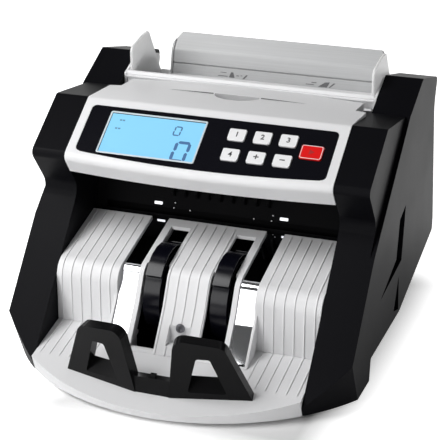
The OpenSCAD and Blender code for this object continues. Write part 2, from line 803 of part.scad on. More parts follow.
// Throat: the dark plate over the chutes, with a comb of ribs, and its sensor lenses
throat_low = [shelf_y + 4, shelf_z - 5.5];
throat_high = [shelf_y + 12, shelf_z + 40.5];
throat_lean = (throat_high.x - throat_low.x) / (throat_high.y - throat_low.y);
function throat_y(z) = throat_low.x + (z - throat_low.y) * throat_lean;
comb_pitch = 9;
exit_z = 86;
exit_h = 5;
module throat_plate() {
  color("#232327") {
    difference() {
      slab(-fit_x, fit_x) polygon([throat_low, throat_low + [wall, 0], throat_high + [wall, 0], throat_high]);
      translate([-fit_x + 8, 0, exit_z]) cube([2 * fit_x - 16, 30, exit_h]);
    }
    for (i = [-4 : 4])
      translate([i * comb_pitch, 0, 0])
        slab(-1, 1)
          polygon([
            [throat_y(100), 100], [throat_y(124), 124], [throat_y(124) - 7, 124], [throat_y(104) - 4, 104],
          ]);
  }
}
// Sheet behind the exit slot that leads the notes out, and the screen under the chutes
guide_bend = exit_z + 10;
module feed_guide() {
  color("#232327")
    slab(-frame_x + 0.3, frame_x - 0.3)
      polygon(rounded([
        sharp(throat_low + [8, -4]), sharp(throat_low + [9.5, -4]),
        [throat_y(guide_bend) + 9.5, guide_bend, 10], sharp(throat_high + [12, -4]),
        sharp(throat_high + [10.5, -4]), [throat_y(guide_bend) + 8, guide_bend, 10],
      ]));
}
module inner_screen() {
  screen_t = 1.5;
  low = foot_h + wall;
  front = centre_foot_y + 3.3;
  color("#1d1d20") {
    slab(-frame_x + 0.3, frame_x - 0.3)
      polygon([
        [wedge_y + 1, low], [shelf_y + 3.5, low], throat_low + [3.5, -6], throat_low + [2, -6],
        [shelf_y + 2, low + screen_t], [wedge_y + 1, low + screen_t],
      ]);
    slab(-centre_hw + 1.3, centre_hw - 1.3)
      polygon([
        [front, low], [wedge_y + 2, low], [wedge_y + 2, low + screen_t], [front + screen_t, low + screen_t],
        [front + screen_t, floor_z(front) - 6], [front, floor_z(front) - 6],
      ]);
  }
}
lens_x = 47.7;
lens_z = 94;
lens_hh = 0.95;
module sensor_lenses() {
  low = [throat_y(lens_z - lens_hh), lens_z - lens_hh];
  high = [throat_y(lens_z + lens_hh), lens_z + lens_hh];
  color("white")
    for (side = [-1, 1])
      translate([side * lens_x, 0, 0]) slab(-3, 3) polygon([low - [1.2, 0], low, high, high - [1.2, 0]]);
}

// Hopper: a floor that falls towards the front, two cheeks, and a rail across the front
tray_y = rail_y - 5;
tray_end = back_y - 15;
tray_slope = tan(tray_angle);
function tray_top(y) = plate_z + (y - tray_end) * tray_slope;
function tray_under(y) = tray_top(y) - wall;
rail_d = 4;
rail_h = 10;
lip_top = 3.1;
lip_bottom = 4.6;
rail_groove = 1.7;
guide_x = inner_x - 4.2;
cheek_t = 1.6;
cheek_x = fit_x - cheek_t;
pickup_z = tray_top(pickup_y) + pickup_rise - pickup_r;
wheel_x = 28;
wheel_w = 14;
module hopper_tray() {
  color("#ededf0") {
    difference() {
      slab(-cheek_x, cheek_x)
        polygon([
          [tray_y, tray_under(tray_y)], [tray_end + 3, tray_under(tray_end + 3)],
          [tray_end + 3, tray_top(tray_end + 3)], [tray_y, tray_top(tray_y)],
        ]);
      for (side = [-1, 1])
        translate([side * wheel_x - wheel_w / 2 - 1, pickup_y - 14, tray_under(pickup_y) - 10])
          cube([wheel_w + 2, 28, 40]);
    }
    for (side = [-1, 1])
      translate([side * (cheek_x + cheek_t / 2), 0, 0])
        slab(-cheek_t / 2, cheek_t / 2)
          polygon(rounded([
            [rail_y, tray_under(rail_y), 0], [tray_end + 3, tray_under(tray_end + 3), 0],
            [dip.x - 3, dip.y + 4, 6], [top_back.x - 4, top_back.y - 2, 4], [top_front.x, top_front.y - 2, 4],
            [rail_y, rail_z - 1.5, 1],
          ]));
  }
}
// Rail: a bar between the cheeks with a groove in each end of its back for the note guides
rail_hw = cheek_x - 0.2;
groove_z = rail_z - 2.8;
module hopper_rail() {
  color("#ededf0")
    difference() {
      slab(-rail_hw, rail_hw)
        polygon(rounded([
          [rail_y + 1.4, rail_z - rail_h, 0], [rail_y + rail_d, rail_z - rail_h, 0],
          [rail_y + rail_d, rail_z, 0.8], [rail_y + 1.8, rail_z, 1.6],
          [rail_y + 0.4, rail_z - lip_top + 0.6, 0], [rail_y + 0.9, rail_z - lip_top + 0.5, 0],
          [rail_y + 0.9, rail_z - lip_top - 0.1, 0], [rail_y, rail_z - lip_top - 0.2, 0],
          [rail_y, rail_z - lip_bottom, 0], [rail_y + 1.4, rail_z - lip_bottom - 0.4, 0],
        ]));
      for (side = [0, 1])
        mirror([side, 0, 0]) slab(guide_x - guide_travel - guide_t, half_w)
          polygon([
            [rail_y + 2, groove_z - rail_groove / 2], [rail_y + 9, groove_z - rail_groove / 2],
            [rail_y + 9, groove_z + rail_groove / 2], [rail_y + 2, groove_z + rail_groove / 2],
          ]);
    }
}
// Back plate: a bent sheet that stands on the end of the hopper floor, with ribs behind it
plate_foot = [tray_end - 2, tray_top(tray_end - 2)];
plate_groove = plate_foot + [2.2, 8];
plate_bend = plate_foot + [3.7, 18.2];
plate_tip = plate_foot + [14.1, 30];
plate_t = 2.2;
plate_hw = fit_x - plate_in;
plate_rim = 1.6;
plate_front = [
  [plate_tip.x, plate_tip.y, 0], [plate_bend.x, plate_bend.y, 8], [plate_foot.x, plate_foot.y, 0],
];
module hopper_back_plate() {
  color("#b9bbbf")
    difference() {
      union() {
        slab(-plate_hw, plate_hw) polygon(skin(plate_front, 0, plate_t));
        for (side = [0, 1])
          mirror([side, 0, 0]) slab(plate_hw - plate_rim, plate_hw) polygon(skin(plate_front, -1.2, plate_t));
        for (x = [-50, 48])
          slab(x, x + 2)
            polygon([
              plate_foot + [1, 0.2], plate_foot + [4.6, 0.4], plate_tip + [-1, -2.5], plate_bend + [1, 0],
            ]);
      }
      for (side = [0, 1])
        mirror([side, 0, 0]) translate([plate_hw, plate_tip.x + 20, plate_tip.y])
          rotate([90, 0, 0]) linear_extrude(60) polygon([[-6, 1], [1, -8], [1, 1]]);
      slab(plate_rim - plate_hw, plate_hw - plate_rim)
        polygon([
          plate_groove + [-2, -0.5], plate_groove + [0.9, -0.5], plate_groove + [0.9, 0.5],
          plate_groove + [-2, 0.5],
        ]);
      slab(-half_w, half_w)
        polygon([
          [tray_end - 20, tray_top(tray_end - 20) + 0.05], [tray_end - 20, 0], [tray_end + 20, 0],
          [tray_end + 20, tray_top(tray_end + 20) + 0.05],
        ]);
    }
}
// Note guide: a thin fin with a tongue that runs in the groove of the rail
guide_clear = 0.4;
guide_y = rail_y + rail_d + 0.6;
guide_back = tray_end - 4;
module note_guide() {
  translate([guide_x, 0, 0]) {
    slab(-guide_t / 2, guide_t / 2)
      polygon(rounded([
        [guide_y, tray_top(guide_y) + guide_clear, 2], [guide_back, tray_top(guide_back) + guide_clear, 2],
        [guide_back - 2, guide_z - 36, 4], [guide_y + 32, guide_z, 4], [guide_y + 22, guide_z - 0.5, 10],
        [guide_y, guide_z - 5.5, 5],
      ]));
    slab(-guide_t / 2, guide_t / 2)
      polygon([
        [rail_y + 2.3, groove_z - rail_groove / 2 + 0.3], [guide_y + 3, groove_z - rail_groove / 2 + 0.3],
        [guide_y + 3, groove_z + rail_groove / 2 - 0.3], [rail_y + 2.3, groove_z + rail_groove / 2 - 0.3],
      ]);
  }
}
module right_note_guide() { color("#f2f2f2") note_guide(); }
module left_note_guide() { color("#f2f2f2") mirror([1, 0, 0]) note_guide(); }

// Rear cover: back wall and the deck behind the hopper
rear_y = back_y - 4;
rear_break = 72;
rear_top = [tray_end + 1, tray_under(tray_end + 1) - 0.1];
rear_lip = [tray_end - 6, tray_under(tray_end - 6) - 0.1];
rear_run = rear_top - [rear_y, rear_break];
rear_lean = atan2(-rear_run.x, rear_run.y);
function rear_at(z) = rear_y + rear_run.x * (z - rear_break) / rear_run.y;
knob_z = 136;
knob_r = 8;
knob_stem = 3;
// Places on the sloping upper part of the back, with +Z square to it
module on_rear(z) {
  translate([0, rear_at(z), z]) rotate([rear_lean - 90, 0, 0]) children();
}
module rear_cover() {
  color("#e4e4e7")
    difference() {
      slab(-fit_x, fit_x)
        polygon([
          [rear_y - wall, tray_wall_z + 0.1], [rear_y, tray_wall_z + 0.1], [rear_y, rear_break], rear_top,
          rear_lip, rear_lip - [0, wall], rear_top - [wall, wall + 0.3], [rear_y - wall, rear_break],
        ]);
      for (x = [-60 : 10 : 60])
        translate([x - 2, rear_y - 20, 84]) cube([4, 40, 34]);
      translate([inlet_x, rear_y, port_z]) cube([inlet_w + 0.4, 20, inlet_h + 0.4], center = true);
      translate([rocker_x, rear_y, port_z]) cube([rocker_w + 0.4, 20, rocker_h + 0.4], center = true);
      on_rear(knob_z) translate([0, 0, -8]) cylinder(h = 12, r = knob_stem + run_gap);
    }
}
inlet_x = -62;
inlet_w = 28;
inlet_h = 20;
port_z = 48;
rocker_x = -24;
rocker_w = 14;
rocker_h = 21;
rocker_pin = 1.5;
module power_inlet() {
  color("#1b1b1b")
    difference() {
      union() {
        translate([inlet_x - inlet_w / 2, rear_y - 20, port_z - inlet_h / 2]) cube([inlet_w, 20, inlet_h]);
        translate([inlet_x - inlet_w / 2 - 4, rear_y, port_z - inlet_h / 2 - 2])
          cube([inlet_w + 8, 2, inlet_h + 4]);
      }
      translate([inlet_x - 11, rear_y - 15, port_z - 7]) cube([22, 30, 14]);
    }
  color("silver")
    for (p = [[-6, -1], [6, -1], [0, 3]])
      translate([inlet_x + p.x - 1, rear_y - 15.5, port_z + p.y - 2]) cube([2, 11, 4]);
}
// Rocker switch: the rocker tilts on a pin held by the side walls of its frame
rocker_depth = 12;
rocker_y = rear_y - 4;
rocker_half = 4.7;
module rocker_frame() {
  color("#1b1b1b")
    difference() {
      union() {
        translate([rocker_x - rocker_w / 2, rear_y - rocker_depth, port_z - rocker_h / 2])
          cube([rocker_w, rocker_depth, rocker_h]);
        translate([rocker_x - rocker_w / 2 - 2, rear_y, port_z - rocker_h / 2 - 2])
          cube([rocker_w + 4, 1.2, rocker_h + 4]);
      }
      translate([rocker_x - rocker_half - 0.3, rear_y - rocker_depth + 2, port_z - 9])
        cube([2 * rocker_half + 0.6, 30, 18]);
      bar(rocker_y, port_z, rocker_x - 6.2, rocker_x + 6.2, rocker_pin);
    }
}
module rocker_switch() {
  color("#161616") {
    translate([rocker_x, rocker_y, port_z]) rotate([0, 90, 0])
      translate([0, 0, -rocker_half])
        linear_extrude(2 * rocker_half)
          polygon(rounded([[-7, -2, 1], [7, -2, 1], [7.8, 5.6, 1], [0, 4.4, 0], [-7.8, 5.6, 1]]));
    bar(rocker_y, port_z, rocker_x - 5.9, rocker_x + 5.9, rocker_pin - run_gap);
  }
}
module gap_knob() {
  color("#26262a")
    on_rear(knob_z) {
      difference() {
        translate([0, 0, 0.3]) cylinder(h = 8, r = knob_r);
        for (a = [0 : 30 : 330])
          rotate([0, 0, a]) translate([knob_r + 0.6, 0, -1]) cylinder(h = 12, r = 1.2, $fn = 16);
      }
      translate([0, 0, -8]) cylinder(h = 8.5, r = knob_stem);
    }
}

// Frame plates: two steel cheeks that carry the shafts, the motor and the tie rods
frame_x = fit_x - wall - 0.3 - frame_t;
plate_mid = frame_x + frame_t / 2;
bearing_r = 7;
rod_r = 4;
rods = [[102, 112], [20, 28], [36, 136]];
frame_outline = [
  [wedge_y + 6, foot_h + wall, 0], [base_back - 18, foot_h + wall, 0],
  [base_back - 18, tray_under(base_back - 18), 0], [tray_y + 2, tray_under(tray_y + 2), 0], [26, 134, 6],
  [throat_y(126) + wall + 0.1, 126, 0], [throat_y(78) + wall + 0.1, 78, 0],
  [chute_y + 20, shelf_top(chute_y + 20) - 7, 6], [wedge_y + 6, 52, 6],
];
shafts = [[feed_y, feed_z], [pickup_y, pickup_z], [impeller_y, impeller_z]];
module frame_plate() {
  difference() {
    slab(frame_x, frame_x + frame_t) polygon(rounded(frame_outline));
    for (s = shafts) bar(s.x, s.y, frame_x - 1, frame_x + frame_t + 1, bearing_r);
    bar(motor_y, motor_z, frame_x - 1, frame_x + frame_t + 1, 6);
  }
}
module right_frame_plate() { color("#a9adb2") frame_plate(); }
module left_frame_plate() { color("#a9adb2") mirror([1, 0, 0]) frame_plate(); }
module tie_rods() {
  color("silver") for (p = rods) bar(p.x, p.y, -frame_x, frame_x, rod_r);
}
module shaft_bearings() {
  color("#c8a45a")
    for (s = shafts, side = [-1, 1])
      difference() {
        union() {
          bar(s.x, s.y, side * plate_mid - frame_t / 2, side * plate_mid + frame_t / 2, bearing_r);
          bar(s.x, s.y, side * (frame_x - 1) - 1, side * (frame_x - 1) + 1, bearing_r + 1.5);
        }
        bar(s.x, s.y, side * frame_x - 9, side * frame_x + 9, shaft_r + run_gap);
      }
}
module drive_motor() {
  color("#5c6066")
    difference() {
      union() {
        bar(motor_y, motor_z, frame_x - motor_len, frame_x, motor_r);
        bar(motor_y, motor_z, frame_x, frame_x + frame_t, 6);
        bar(motor_y, motor_z, frame_x - motor_len - 4, frame_x - motor_len, 8);
      }
      bar(motor_y, motor_z, frame_x - 12, frame_x + 10, 2.5 + run_gap);
    }
}

// Pulleys and belts run in the hollow of the side covers, the pickup belt inside the left frame plate
belt_t = 1.6;
belt_w = 6;
belt_gap = 0.3;
belt_x = inner_x + wall + 1.5;
motor_pulley_r = 8;
feed_pulley_r = 16;
feed_small_r = 10;
impeller_pulley_r = 20;
pickup_pulley_r = 9;
module pulley(y, z, x, r) {
  bar(y, z, x, x + belt_w, r);
  bar(y, z, x - 1, x, r + 1.5);
  bar(y, z, x + belt_w, x + belt_w + 1, r + 1.5);
}
pickup_x = frame_x - belt_w - 4;
module motor_pulley() {
  color("#8d8f93") {
    bar(motor_y, motor_z, frame_x - 10, belt_x + belt_w + 1, 2.5);
    pulley(motor_y, motor_z, belt_x, motor_pulley_r);
  }
}
shaft_end = frame_x + frame_t + 1;
module feed_shaft() {
  color("silver") bar(feed_y, feed_z, -belt_x - belt_w - 1, belt_x + belt_w + 1, shaft_r);
}
module pulley_bore(y, z, r) {
  difference() {
    children();
    bar(y, z, -half_w, half_w, r);
  }
}
module feed_pulleys() {
  color("#8d8f93")
    pulley_bore(feed_y, feed_z, shaft_r) {
      union() {
        pulley(feed_y, feed_z, belt_x, feed_pulley_r);
        mirror([1, 0, 0]) pulley(feed_y, feed_z, belt_x, feed_small_r);
        mirror([1, 0, 0]) pulley(feed_y, feed_z, pickup_x, pickup_pulley_r);
      }
    }
}
module rollers(y, z, r, places, w) {
  difference() {
    for (x = places) bar(y, z, x - w / 2, x + w / 2, r);
    bar(y, z, -half_w, half_w, shaft_r);
  }
}
module feed_rollers() { color("#2f3033") rollers(feed_y, feed_z, feed_r, [-wheel_x, wheel_x], 20); }
module pickup_shaft() {
  color("silver") bar(pickup_y, pickup_z, -shaft_end, shaft_end, shaft_r);
}
module pickup_wheels() {
  color("#2f3033") rollers(pickup_y, pickup_z, pickup_r, [-wheel_x, wheel_x], wheel_w);
}
module pickup_pulley() {
  color("#8d8f93")
    pulley_bore(pickup_y, pickup_z, shaft_r)
      mirror([1, 0, 0]) pulley(pickup_y, pickup_z, pickup_x, pickup_pulley_r);
}
module impeller_shaft() {
  color("silver") bar(impeller_y, impeller_z, -belt_x - belt_w - 1, shaft_end, shaft_r);
}
module impeller_pulley() {
  color("#8d8f93")
    pulley_bore(impeller_y, impeller_z, shaft_r)
      mirror([1, 0, 0]) pulley(impeller_y, impeller_z, belt_x, impeller_pulley_r);
}
// Impeller: a hub with long curved blades that trail the turn, wound almost once round it
hub_r = 14;
blade_t = 1.7;
blade_sweep = 300;
blade_steps = 20;
blade_turn = 205;
function blade_reach(t) = (impeller_r - blade_t - hub_r + 1) * (1 - pow(1 - t, 1.8));
function blade_mid(t) = along([0, 0], hub_r - 1 + blade_reach(t), blade_sweep * t);
function blade_point(i, side) =
  let (t = i / blade_steps, run = unit(blade_mid(t) - blade_mid(t - 0.01)), w = blade_t / 2 * (1 - 0.5 * t))
  blade_mid(t) + side * w * left_of(run);
blade_outline = concat(
  [for (i = [0 : blade_steps]) blade_point(i, -1)], [for (i = [blade_steps : -1 : 0]) blade_point(i, 1)]
);
module impeller(x) {
  color("#1f1f23")
    translate([x - impeller_w / 2, impeller_y, impeller_z]) rotate([90, 0, 90])
      linear_extrude(impeller_w) difference() {
        union() {
          circle(r = hub_r);
          for (b = [0 : blades - 1]) rotate(blade_turn + b * 360 / blades) polygon(blade_outline);
        }
        circle(r = shaft_r);
      }
}
module left_impeller() { impeller(-impeller_x); }
module right_impeller() { impeller(impeller_x); }

// Belt: a closed loop round two pulleys, drawn with its straight runs as tangents
function belt_line(p, rp, q, rq, d) =
  let (
    gap = q - p,
    dir = atan2(gap.y, gap.x),
    lean = acos((rp - rq) / norm(gap)),
    a = [for (k = [0 : 16]) along(p, rp + d, dir + lean + k * (360 - 2 * lean) / 16)],
    b = [for (k = [0 : 16]) along(q, rq + d, dir - lean + k * 2 * lean / 16)]
  )
  concat(a, b);
module belt(p, rp, q, rq, x) {
  slab(x + 0.4, x + belt_w - 0.4) difference() {
    polygon(belt_line(p, rp, q, rq, belt_gap + belt_t));
    polygon(belt_line(p, rp, q, rq, belt_gap));
  }
}
module drive_belts() {
  color("#151515") {
    belt([motor_y, motor_z], motor_pulley_r, [feed_y, feed_z], feed_pulley_r, belt_x);
    mirror([1, 0, 0])
      belt([feed_y, feed_z], feed_small_r, [impeller_y, impeller_z], impeller_pulley_r, belt_x);
    mirror([1, 0, 0])
      belt([feed_y, feed_z], pickup_pulley_r, [pickup_y, pickup_z], pickup_pulley_r, pickup_x);
  }
}

// Power board on the floor of the base, with its transformer
power_w = 86;
power_d = 62;
module power_board() {
  color("#2e6b3f")
    translate([12.6 - frame_x, base_back - power_d - 36, foot_h + wall]) {
      translate([0, 0, 4]) cube([power_w, power_d, board_t]);
      for (x = [4, power_w - 4], y = [4, power_d - 4]) translate([x, y, 0]) cylinder(h = 4, r = 3);
      translate([10, 8, 4 + board_t]) cube([42, 36, 30]);
      for (i = [0 : 2]) translate([power_w - 18, 14 + i * 16, 4 + board_t]) cylinder(h = 18, r = 6);
    }
}
// Screws: under the toe of each side cover, and round the rear cover
module screw_head() {
  difference() {
    cylinder(h = 1.8, r1 = 3.2, r2 = 2.4);
    for (a = [0, 90]) rotate([0, 0, a]) translate([-1.8, -0.4, 1]) cube([3.6, 0.8, 2]);
  }
}
module cover_screws() {
  color("silver") {
    for (x = [-half_w + 13, half_w - 13])
      translate([x, heel_y - 12, foot_h]) rotate([180, 0, 0]) screw_head();
    for (x = [-fit_x + 8, fit_x - 8], z = [tray_wall_z + 7, rear_break - 8])
      translate([x, rear_y, z]) rotate([-90, 0, 0]) screw_head();
  }
}

base_tray();
left_side_cover();
right_side_cover();
top_cover();
keypad_overlay();
lcd_display();
main_board();
left_chute();
centre_chute();
right_chute();
left_guide_strip();
right_guide_strip();
chute_screw();
stacker_stop();
throat_plate();
feed_guide();
inner_screen();
sensor_lenses();
hopper_tray();
hopper_rail();
hopper_back_plate();
left_note_guide();
right_note_guide();
rear_cover();
power_inlet();
rocker_frame();
rocker_switch();
gap_knob();
left_frame_plate();
right_frame_plate();
tie_rods();
shaft_bearings();
drive_motor();
motor_pulley();
feed_shaft();
feed_rollers();
pickup_shaft();
pickup_wheels();
impeller_shaft();
left_impeller();
right_impeller();
feed_pulleys();
pickup_pulley();
impeller_pulley();
drive_belts();
power_board();
rubber_feet();
cover_screws();
key_1();
key_2();
key_3();
key_4();
key_5();
key_6();
start_key();
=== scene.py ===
from math import cos, radians, sin

import bpy
from mathutils import Matrix, Vector


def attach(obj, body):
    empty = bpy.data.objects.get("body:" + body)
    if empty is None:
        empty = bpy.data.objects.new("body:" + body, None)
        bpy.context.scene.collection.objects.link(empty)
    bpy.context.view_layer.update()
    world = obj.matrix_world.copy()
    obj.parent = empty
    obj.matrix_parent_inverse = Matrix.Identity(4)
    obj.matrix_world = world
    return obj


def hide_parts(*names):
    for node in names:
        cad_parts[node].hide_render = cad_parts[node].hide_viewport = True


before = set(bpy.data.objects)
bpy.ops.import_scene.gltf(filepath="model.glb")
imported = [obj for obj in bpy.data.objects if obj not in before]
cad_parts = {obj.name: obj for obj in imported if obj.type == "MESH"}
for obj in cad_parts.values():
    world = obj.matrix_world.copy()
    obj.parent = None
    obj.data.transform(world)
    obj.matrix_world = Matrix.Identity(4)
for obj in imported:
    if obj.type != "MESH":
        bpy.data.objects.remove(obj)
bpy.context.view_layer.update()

# Base tray: the white ABS moulding that carries everything. Its floor slopes back from a curved,
# flared rim, and fine ribs on it lead the notes. Its edges are eased as a mould leaves them.
MM = 0.001
weld_gap = 0.002 * MM
same_plane = radians(0.4)
sharp_edge = radians(32)
smooth_edge = radians(38)
grain_relief = 0.1 * MM


def eased_copy(node, name, edge_mm, segments):
    """A welded copy of a solid with its sharp edges rounded over."""
    bpy.ops.object.select_all(action="DESELECT")
    piece = bpy.data.objects.new(name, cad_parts[node].data.copy())
    bpy.context.collection.objects.link(piece)
    bpy.context.view_layer.objects.active = piece
    piece.select_set(True)
    bpy.ops.object.mode_set(mode="EDIT")
    bpy.ops.mesh.select_all(action="SELECT")
    bpy.ops.mesh.remove_doubles(threshold=weld_gap)
    bpy.ops.mesh.dissolve_limited(angle_limit=same_plane)
    bpy.ops.object.mode_set(mode="OBJECT")
    bevel = piece.modifiers.new("Eased edges", "BEVEL")
    bevel.width = edge_mm * MM
    bevel.segments = segments
    bevel.limit_method = "ANGLE"
    bevel.angle_limit = sharp_edge
    bpy.ops.object.modifier_apply(modifier=bevel.name)
    bpy.ops.object.shade_smooth_by_angle(angle=smooth_edge)
    even = piece.modifiers.new("Even faces", "WEIGHTED_NORMAL")
    even.keep_sharp = True
    bpy.ops.object.modifier_apply(modifier=even.name)
    return piece


def fit(piece, material, body):
    """Gives a piece its finish and the body that it moves with."""
    piece.data.materials.clear()
    piece.data.materials.append(material)
    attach(piece, body)


def dress(node, name, edge_mm, material, body, segments=2):
    """Puts a finished copy with eased edges in the place of a solid."""
    piece = eased_copy(node, name, edge_mm, segments)
    fit(piece, material, body)
    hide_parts(node)


def surface_group(name, inputs):
    """An empty shader group with these inputs, which puts out colour, gloss and height."""
    group = bpy.data.node_groups.new(name, "ShaderNodeTree")
    for label, kind, value in inputs:
        socket = group.interface.new_socket(label, in_out="INPUT", socket_type=kind)
        socket.default_value = value
    for label, kind in (
        ("Colour", "NodeSocketColor"),
        ("Roughness", "NodeSocketFloat"),
        ("Height", "NodeSocketFloat"),
    ):
        group.interface.new_socket(label, in_out="OUTPUT", socket_type=kind)
    return group, group.nodes.new("NodeGroupInput"), group.nodes.new("NodeGroupOutput")


def moulded_grain():
    """Fine spark-eroded grain of a mould, with slow changes in tone and gloss."""
    group, given, made = surface_group(
        "Moulded grain",
        (
            ("Colour", "NodeSocketColor", (0.8, 0.8, 0.8, 1)),
            ("Tone", "NodeSocketFloat", 0.05),
            ("Roughness", "NodeSocketFloat", 0.4),
            ("Gloss change", "NodeSocketFloat", 0.08),
            ("Grain", "NodeSocketFloat", 2500),
        ),
    )
    new, link = group.nodes.new, group.links.new
    place = new("ShaderNodeTexCoord")
    fine = new("ShaderNodeTexNoise")
    fine.inputs["Detail"].default_value = 3
    slow = new("ShaderNodeTexNoise")
    slow.inputs["Scale"].default_value = 22
    slow.inputs["Detail"].default_value = 2
    link(place.outputs["Object"], fine.inputs["Vector"])
    link(place.outputs["Object"], slow.inputs["Vector"])
    link(given.outputs["Grain"], fine.inputs["Scale"])
    centred = new("ShaderNodeMath")
    centred.operation = "SUBTRACT"
    centred.inputs[1].default_value = 0.5
    link(slow.outputs["Fac"], centred.inputs[0])
    tone = new("ShaderNodeMath")
    tone.operation = "MULTIPLY_ADD"
    tone.inputs[2].default_value = 1
    link(centred.outputs[0], tone.inputs[0])
    link(given.outputs["Tone"], tone.inputs[1])
    tinted = new("ShaderNodeVectorMath")
    tinted.operation = "SCALE"
    link(given.outputs["Colour"], tinted.inputs[0])
    link(tone.outputs[0], tinted.inputs["Scale"])
    gloss = new("ShaderNodeMath")
    gloss.operation = "MULTIPLY_ADD"
    link(centred.outputs[0], gloss.inputs[0])
    link(given.outputs["Gloss change"], gloss.inputs[1])
    link(given.outputs["Roughness"], gloss.inputs[2])
    link(tinted.outputs[0], made.inputs["Colour"])
    link(gloss.outputs[0], made.inputs["Roughness"])
    link(fine.outputs["Fac"], made.inputs["Height"])
    return group


grain_group = moulded_grain()


def surfaced(name, group, values, depth, relief):
    """A material that takes its colour, gloss and fine relief from a shader group."""
    material = bpy.data.materials.new(name)
    material.use_nodes = True
    nodes, link = material.node_tree.nodes, material.node_tree.links.new
    skin = nodes["Principled BSDF"]
    surface = nodes.new("ShaderNodeGroup")
    surface.node_tree = group
    for socket, value in values.items():
        surface.inputs[socket].default_value = value
    bump = nodes.new("ShaderNodeBump")
    bump.inputs["Strength"].default_value = depth
    bump.inputs["Distance"].default_value = relief
    link(surface.outputs["Colour"], skin.inputs["Base Color"])
    link(surface.outputs["Roughness"], skin.inputs["Roughness"])
    link(surface.outputs["Height"], bump.inputs["Height"])
    link(bump.outputs["Normal"], skin.inputs["Normal"])
    return material


def grained(name, colour, roughness, grain=2500, depth=0.15, tone=0.06, change=0.1, **sockets):
    """A finish of one colour with fine grain, and slow changes in its tone and gloss."""
    values = {
        "Colour": (*colour, 1),
        "Tone": tone,
        "Roughness": roughness,
        "Gloss change": change,
        "Grain": grain,
    }
    material = surfaced(name, grain_group, values, depth, grain_relief)
    skin = material.node_tree.nodes["Principled BSDF"]
    for socket, value in sockets.items():
        skin.inputs[socket.replace("_", " ")].default_value = value
    return material


white_abs = grained(
    "White ABS", (0.80, 0.80, 0.81), 0.4, grain=1800, depth=0.08, Specular_IOR_Level=0.4
)
dress("base_tray", "base_tray_moulding", 0.5, white_abs, "housing")

# Rubber feet: four tapered pads of black rubber, stuck under the corners of the base, so that the
# machine stands still while it runs.
foot_rubber = grained("Foot rubber", (0.02, 0.02, 0.02), 0.75, grain=1200, depth=0.3)
dress("rubber_feet", "foot_pads", 0.4, foot_rubber, "housing")

# Frame plates, tie rods and bearings: pressed sheet steel, ground bar and sintered bronze, with
# the fine lines of rolling and grinding. The rods hold the plates apart, and the bushes that the
# shafts run in are pressed into them.
lines_relief = 0.05 * MM


def drawn_lines():
    """Lines of rolling, grinding or turning along one direction of a metal."""
    group, given, made = surface_group(
        "Drawn lines",
        (
            ("Colour", "NodeSocketColor", (0.6, 0.6, 0.62, 1)),
            ("Roughness", "NodeSocketFloat", 0.3),
            ("Along", "NodeSocketVector", (20, 1500, 1500)),
        ),
    )
    new, link = group.nodes.new, group.links.new
    place = new("ShaderNodeTexCoord")
    stretch = new("ShaderNodeVectorMath")
    stretch.operation = "MULTIPLY"
    lines = new("ShaderNodeTexNoise")
    lines.inputs["Scale"].default_value = 1
    lines.inputs["Detail"].default_value = 4
    tone = new("ShaderNodeMapRange")
    tone.inputs["To Min"].default_value = 0.86
    tone.inputs["To Max"].default_value = 1.1
    shade = new("ShaderNodeVectorMath")
    shade.operation = "SCALE"
    spread = new("ShaderNodeMath")
    spread.operation = "MULTIPLY_ADD"
    spread.inputs[1].default_value = 0.14
    link(place.outputs["Object"], stretch.inputs[0])
    link(given.outputs["Along"], stretch.inputs[1])
    link(stretch.outputs[0], lines.inputs["Vector"])
    link(lines.outputs["Fac"], tone.inputs["Value"])
    link(given.outputs["Colour"], shade.inputs[0])
    link(tone.outputs[0], shade.inputs["Scale"])
    link(lines.outputs["Fac"], spread.inputs[0])
    link(given.outputs["Roughness"], spread.inputs[2])
    link(shade.outputs[0], made.inputs["Colour"])
    link(spread.outputs[0], made.inputs["Roughness"])
    link(lines.outputs["Fac"], made.inputs["Height"])
    return group


lines_group = drawn_lines()


def metal(name, colour, roughness, along, depth=0.1, metallic=1.0):
    """A bare metal, or a painted or satin finish, with the lines of how it was made."""
    values = {"Colour": (*colour, 1), "Roughness": roughness, "Along": along}
    material = surfaced(name, lines_group, values, depth, lines_relief)
    material.node_tree.nodes["Principled BSDF"].inputs["Metallic"].default_value = metallic
    return material


sheet_steel = metal("Rolled sheet steel", (0.56, 0.57, 0.59), 0.28, (900, 30, 900))
ground_steel = metal("Ground bar steel", (0.64, 0.65, 0.67), 0.18, (1500, 60, 60))
sinter_bronze = metal("Sintered bronze", (0.55, 0.36, 0.16), 0.42, (900, 900, 900), 0.2)
for plate in ("left_frame_plate", "right_frame_plate"):
    dress(plate, plate + "_pressing", 0.2, sheet_steel, "housing")
dress("tie_rods", "spacer_rods", 0.3, ground_steel, "housing")
dress("shaft_bearings", "flanged_bushes", 0.3, sinter_bronze, "housing")

# Motor and boards: a painted steel can with its boss in the right frame plate, the power board on
# the floor of the base, and the control board behind the panel. The boards are fibreglass with a
# green solder mask.
can_paint = metal("Motor can paint", (0.06, 0.065, 0.07), 0.35, (80, 900, 900), 0.05, metallic=0.0)
solder_mask = grained("Solder mask", (0.01, 0.11, 0.035), 0.3, grain=700, depth=0.25, tone=0.35)
dress("drive_motor", "motor_can", 0.8, can_paint, "housing")
dress("power_board", "power_supply_board", 0.2, solder_mask, "housing")
dress("main_board", "control_board", 0.15, solder_mask, "housing")

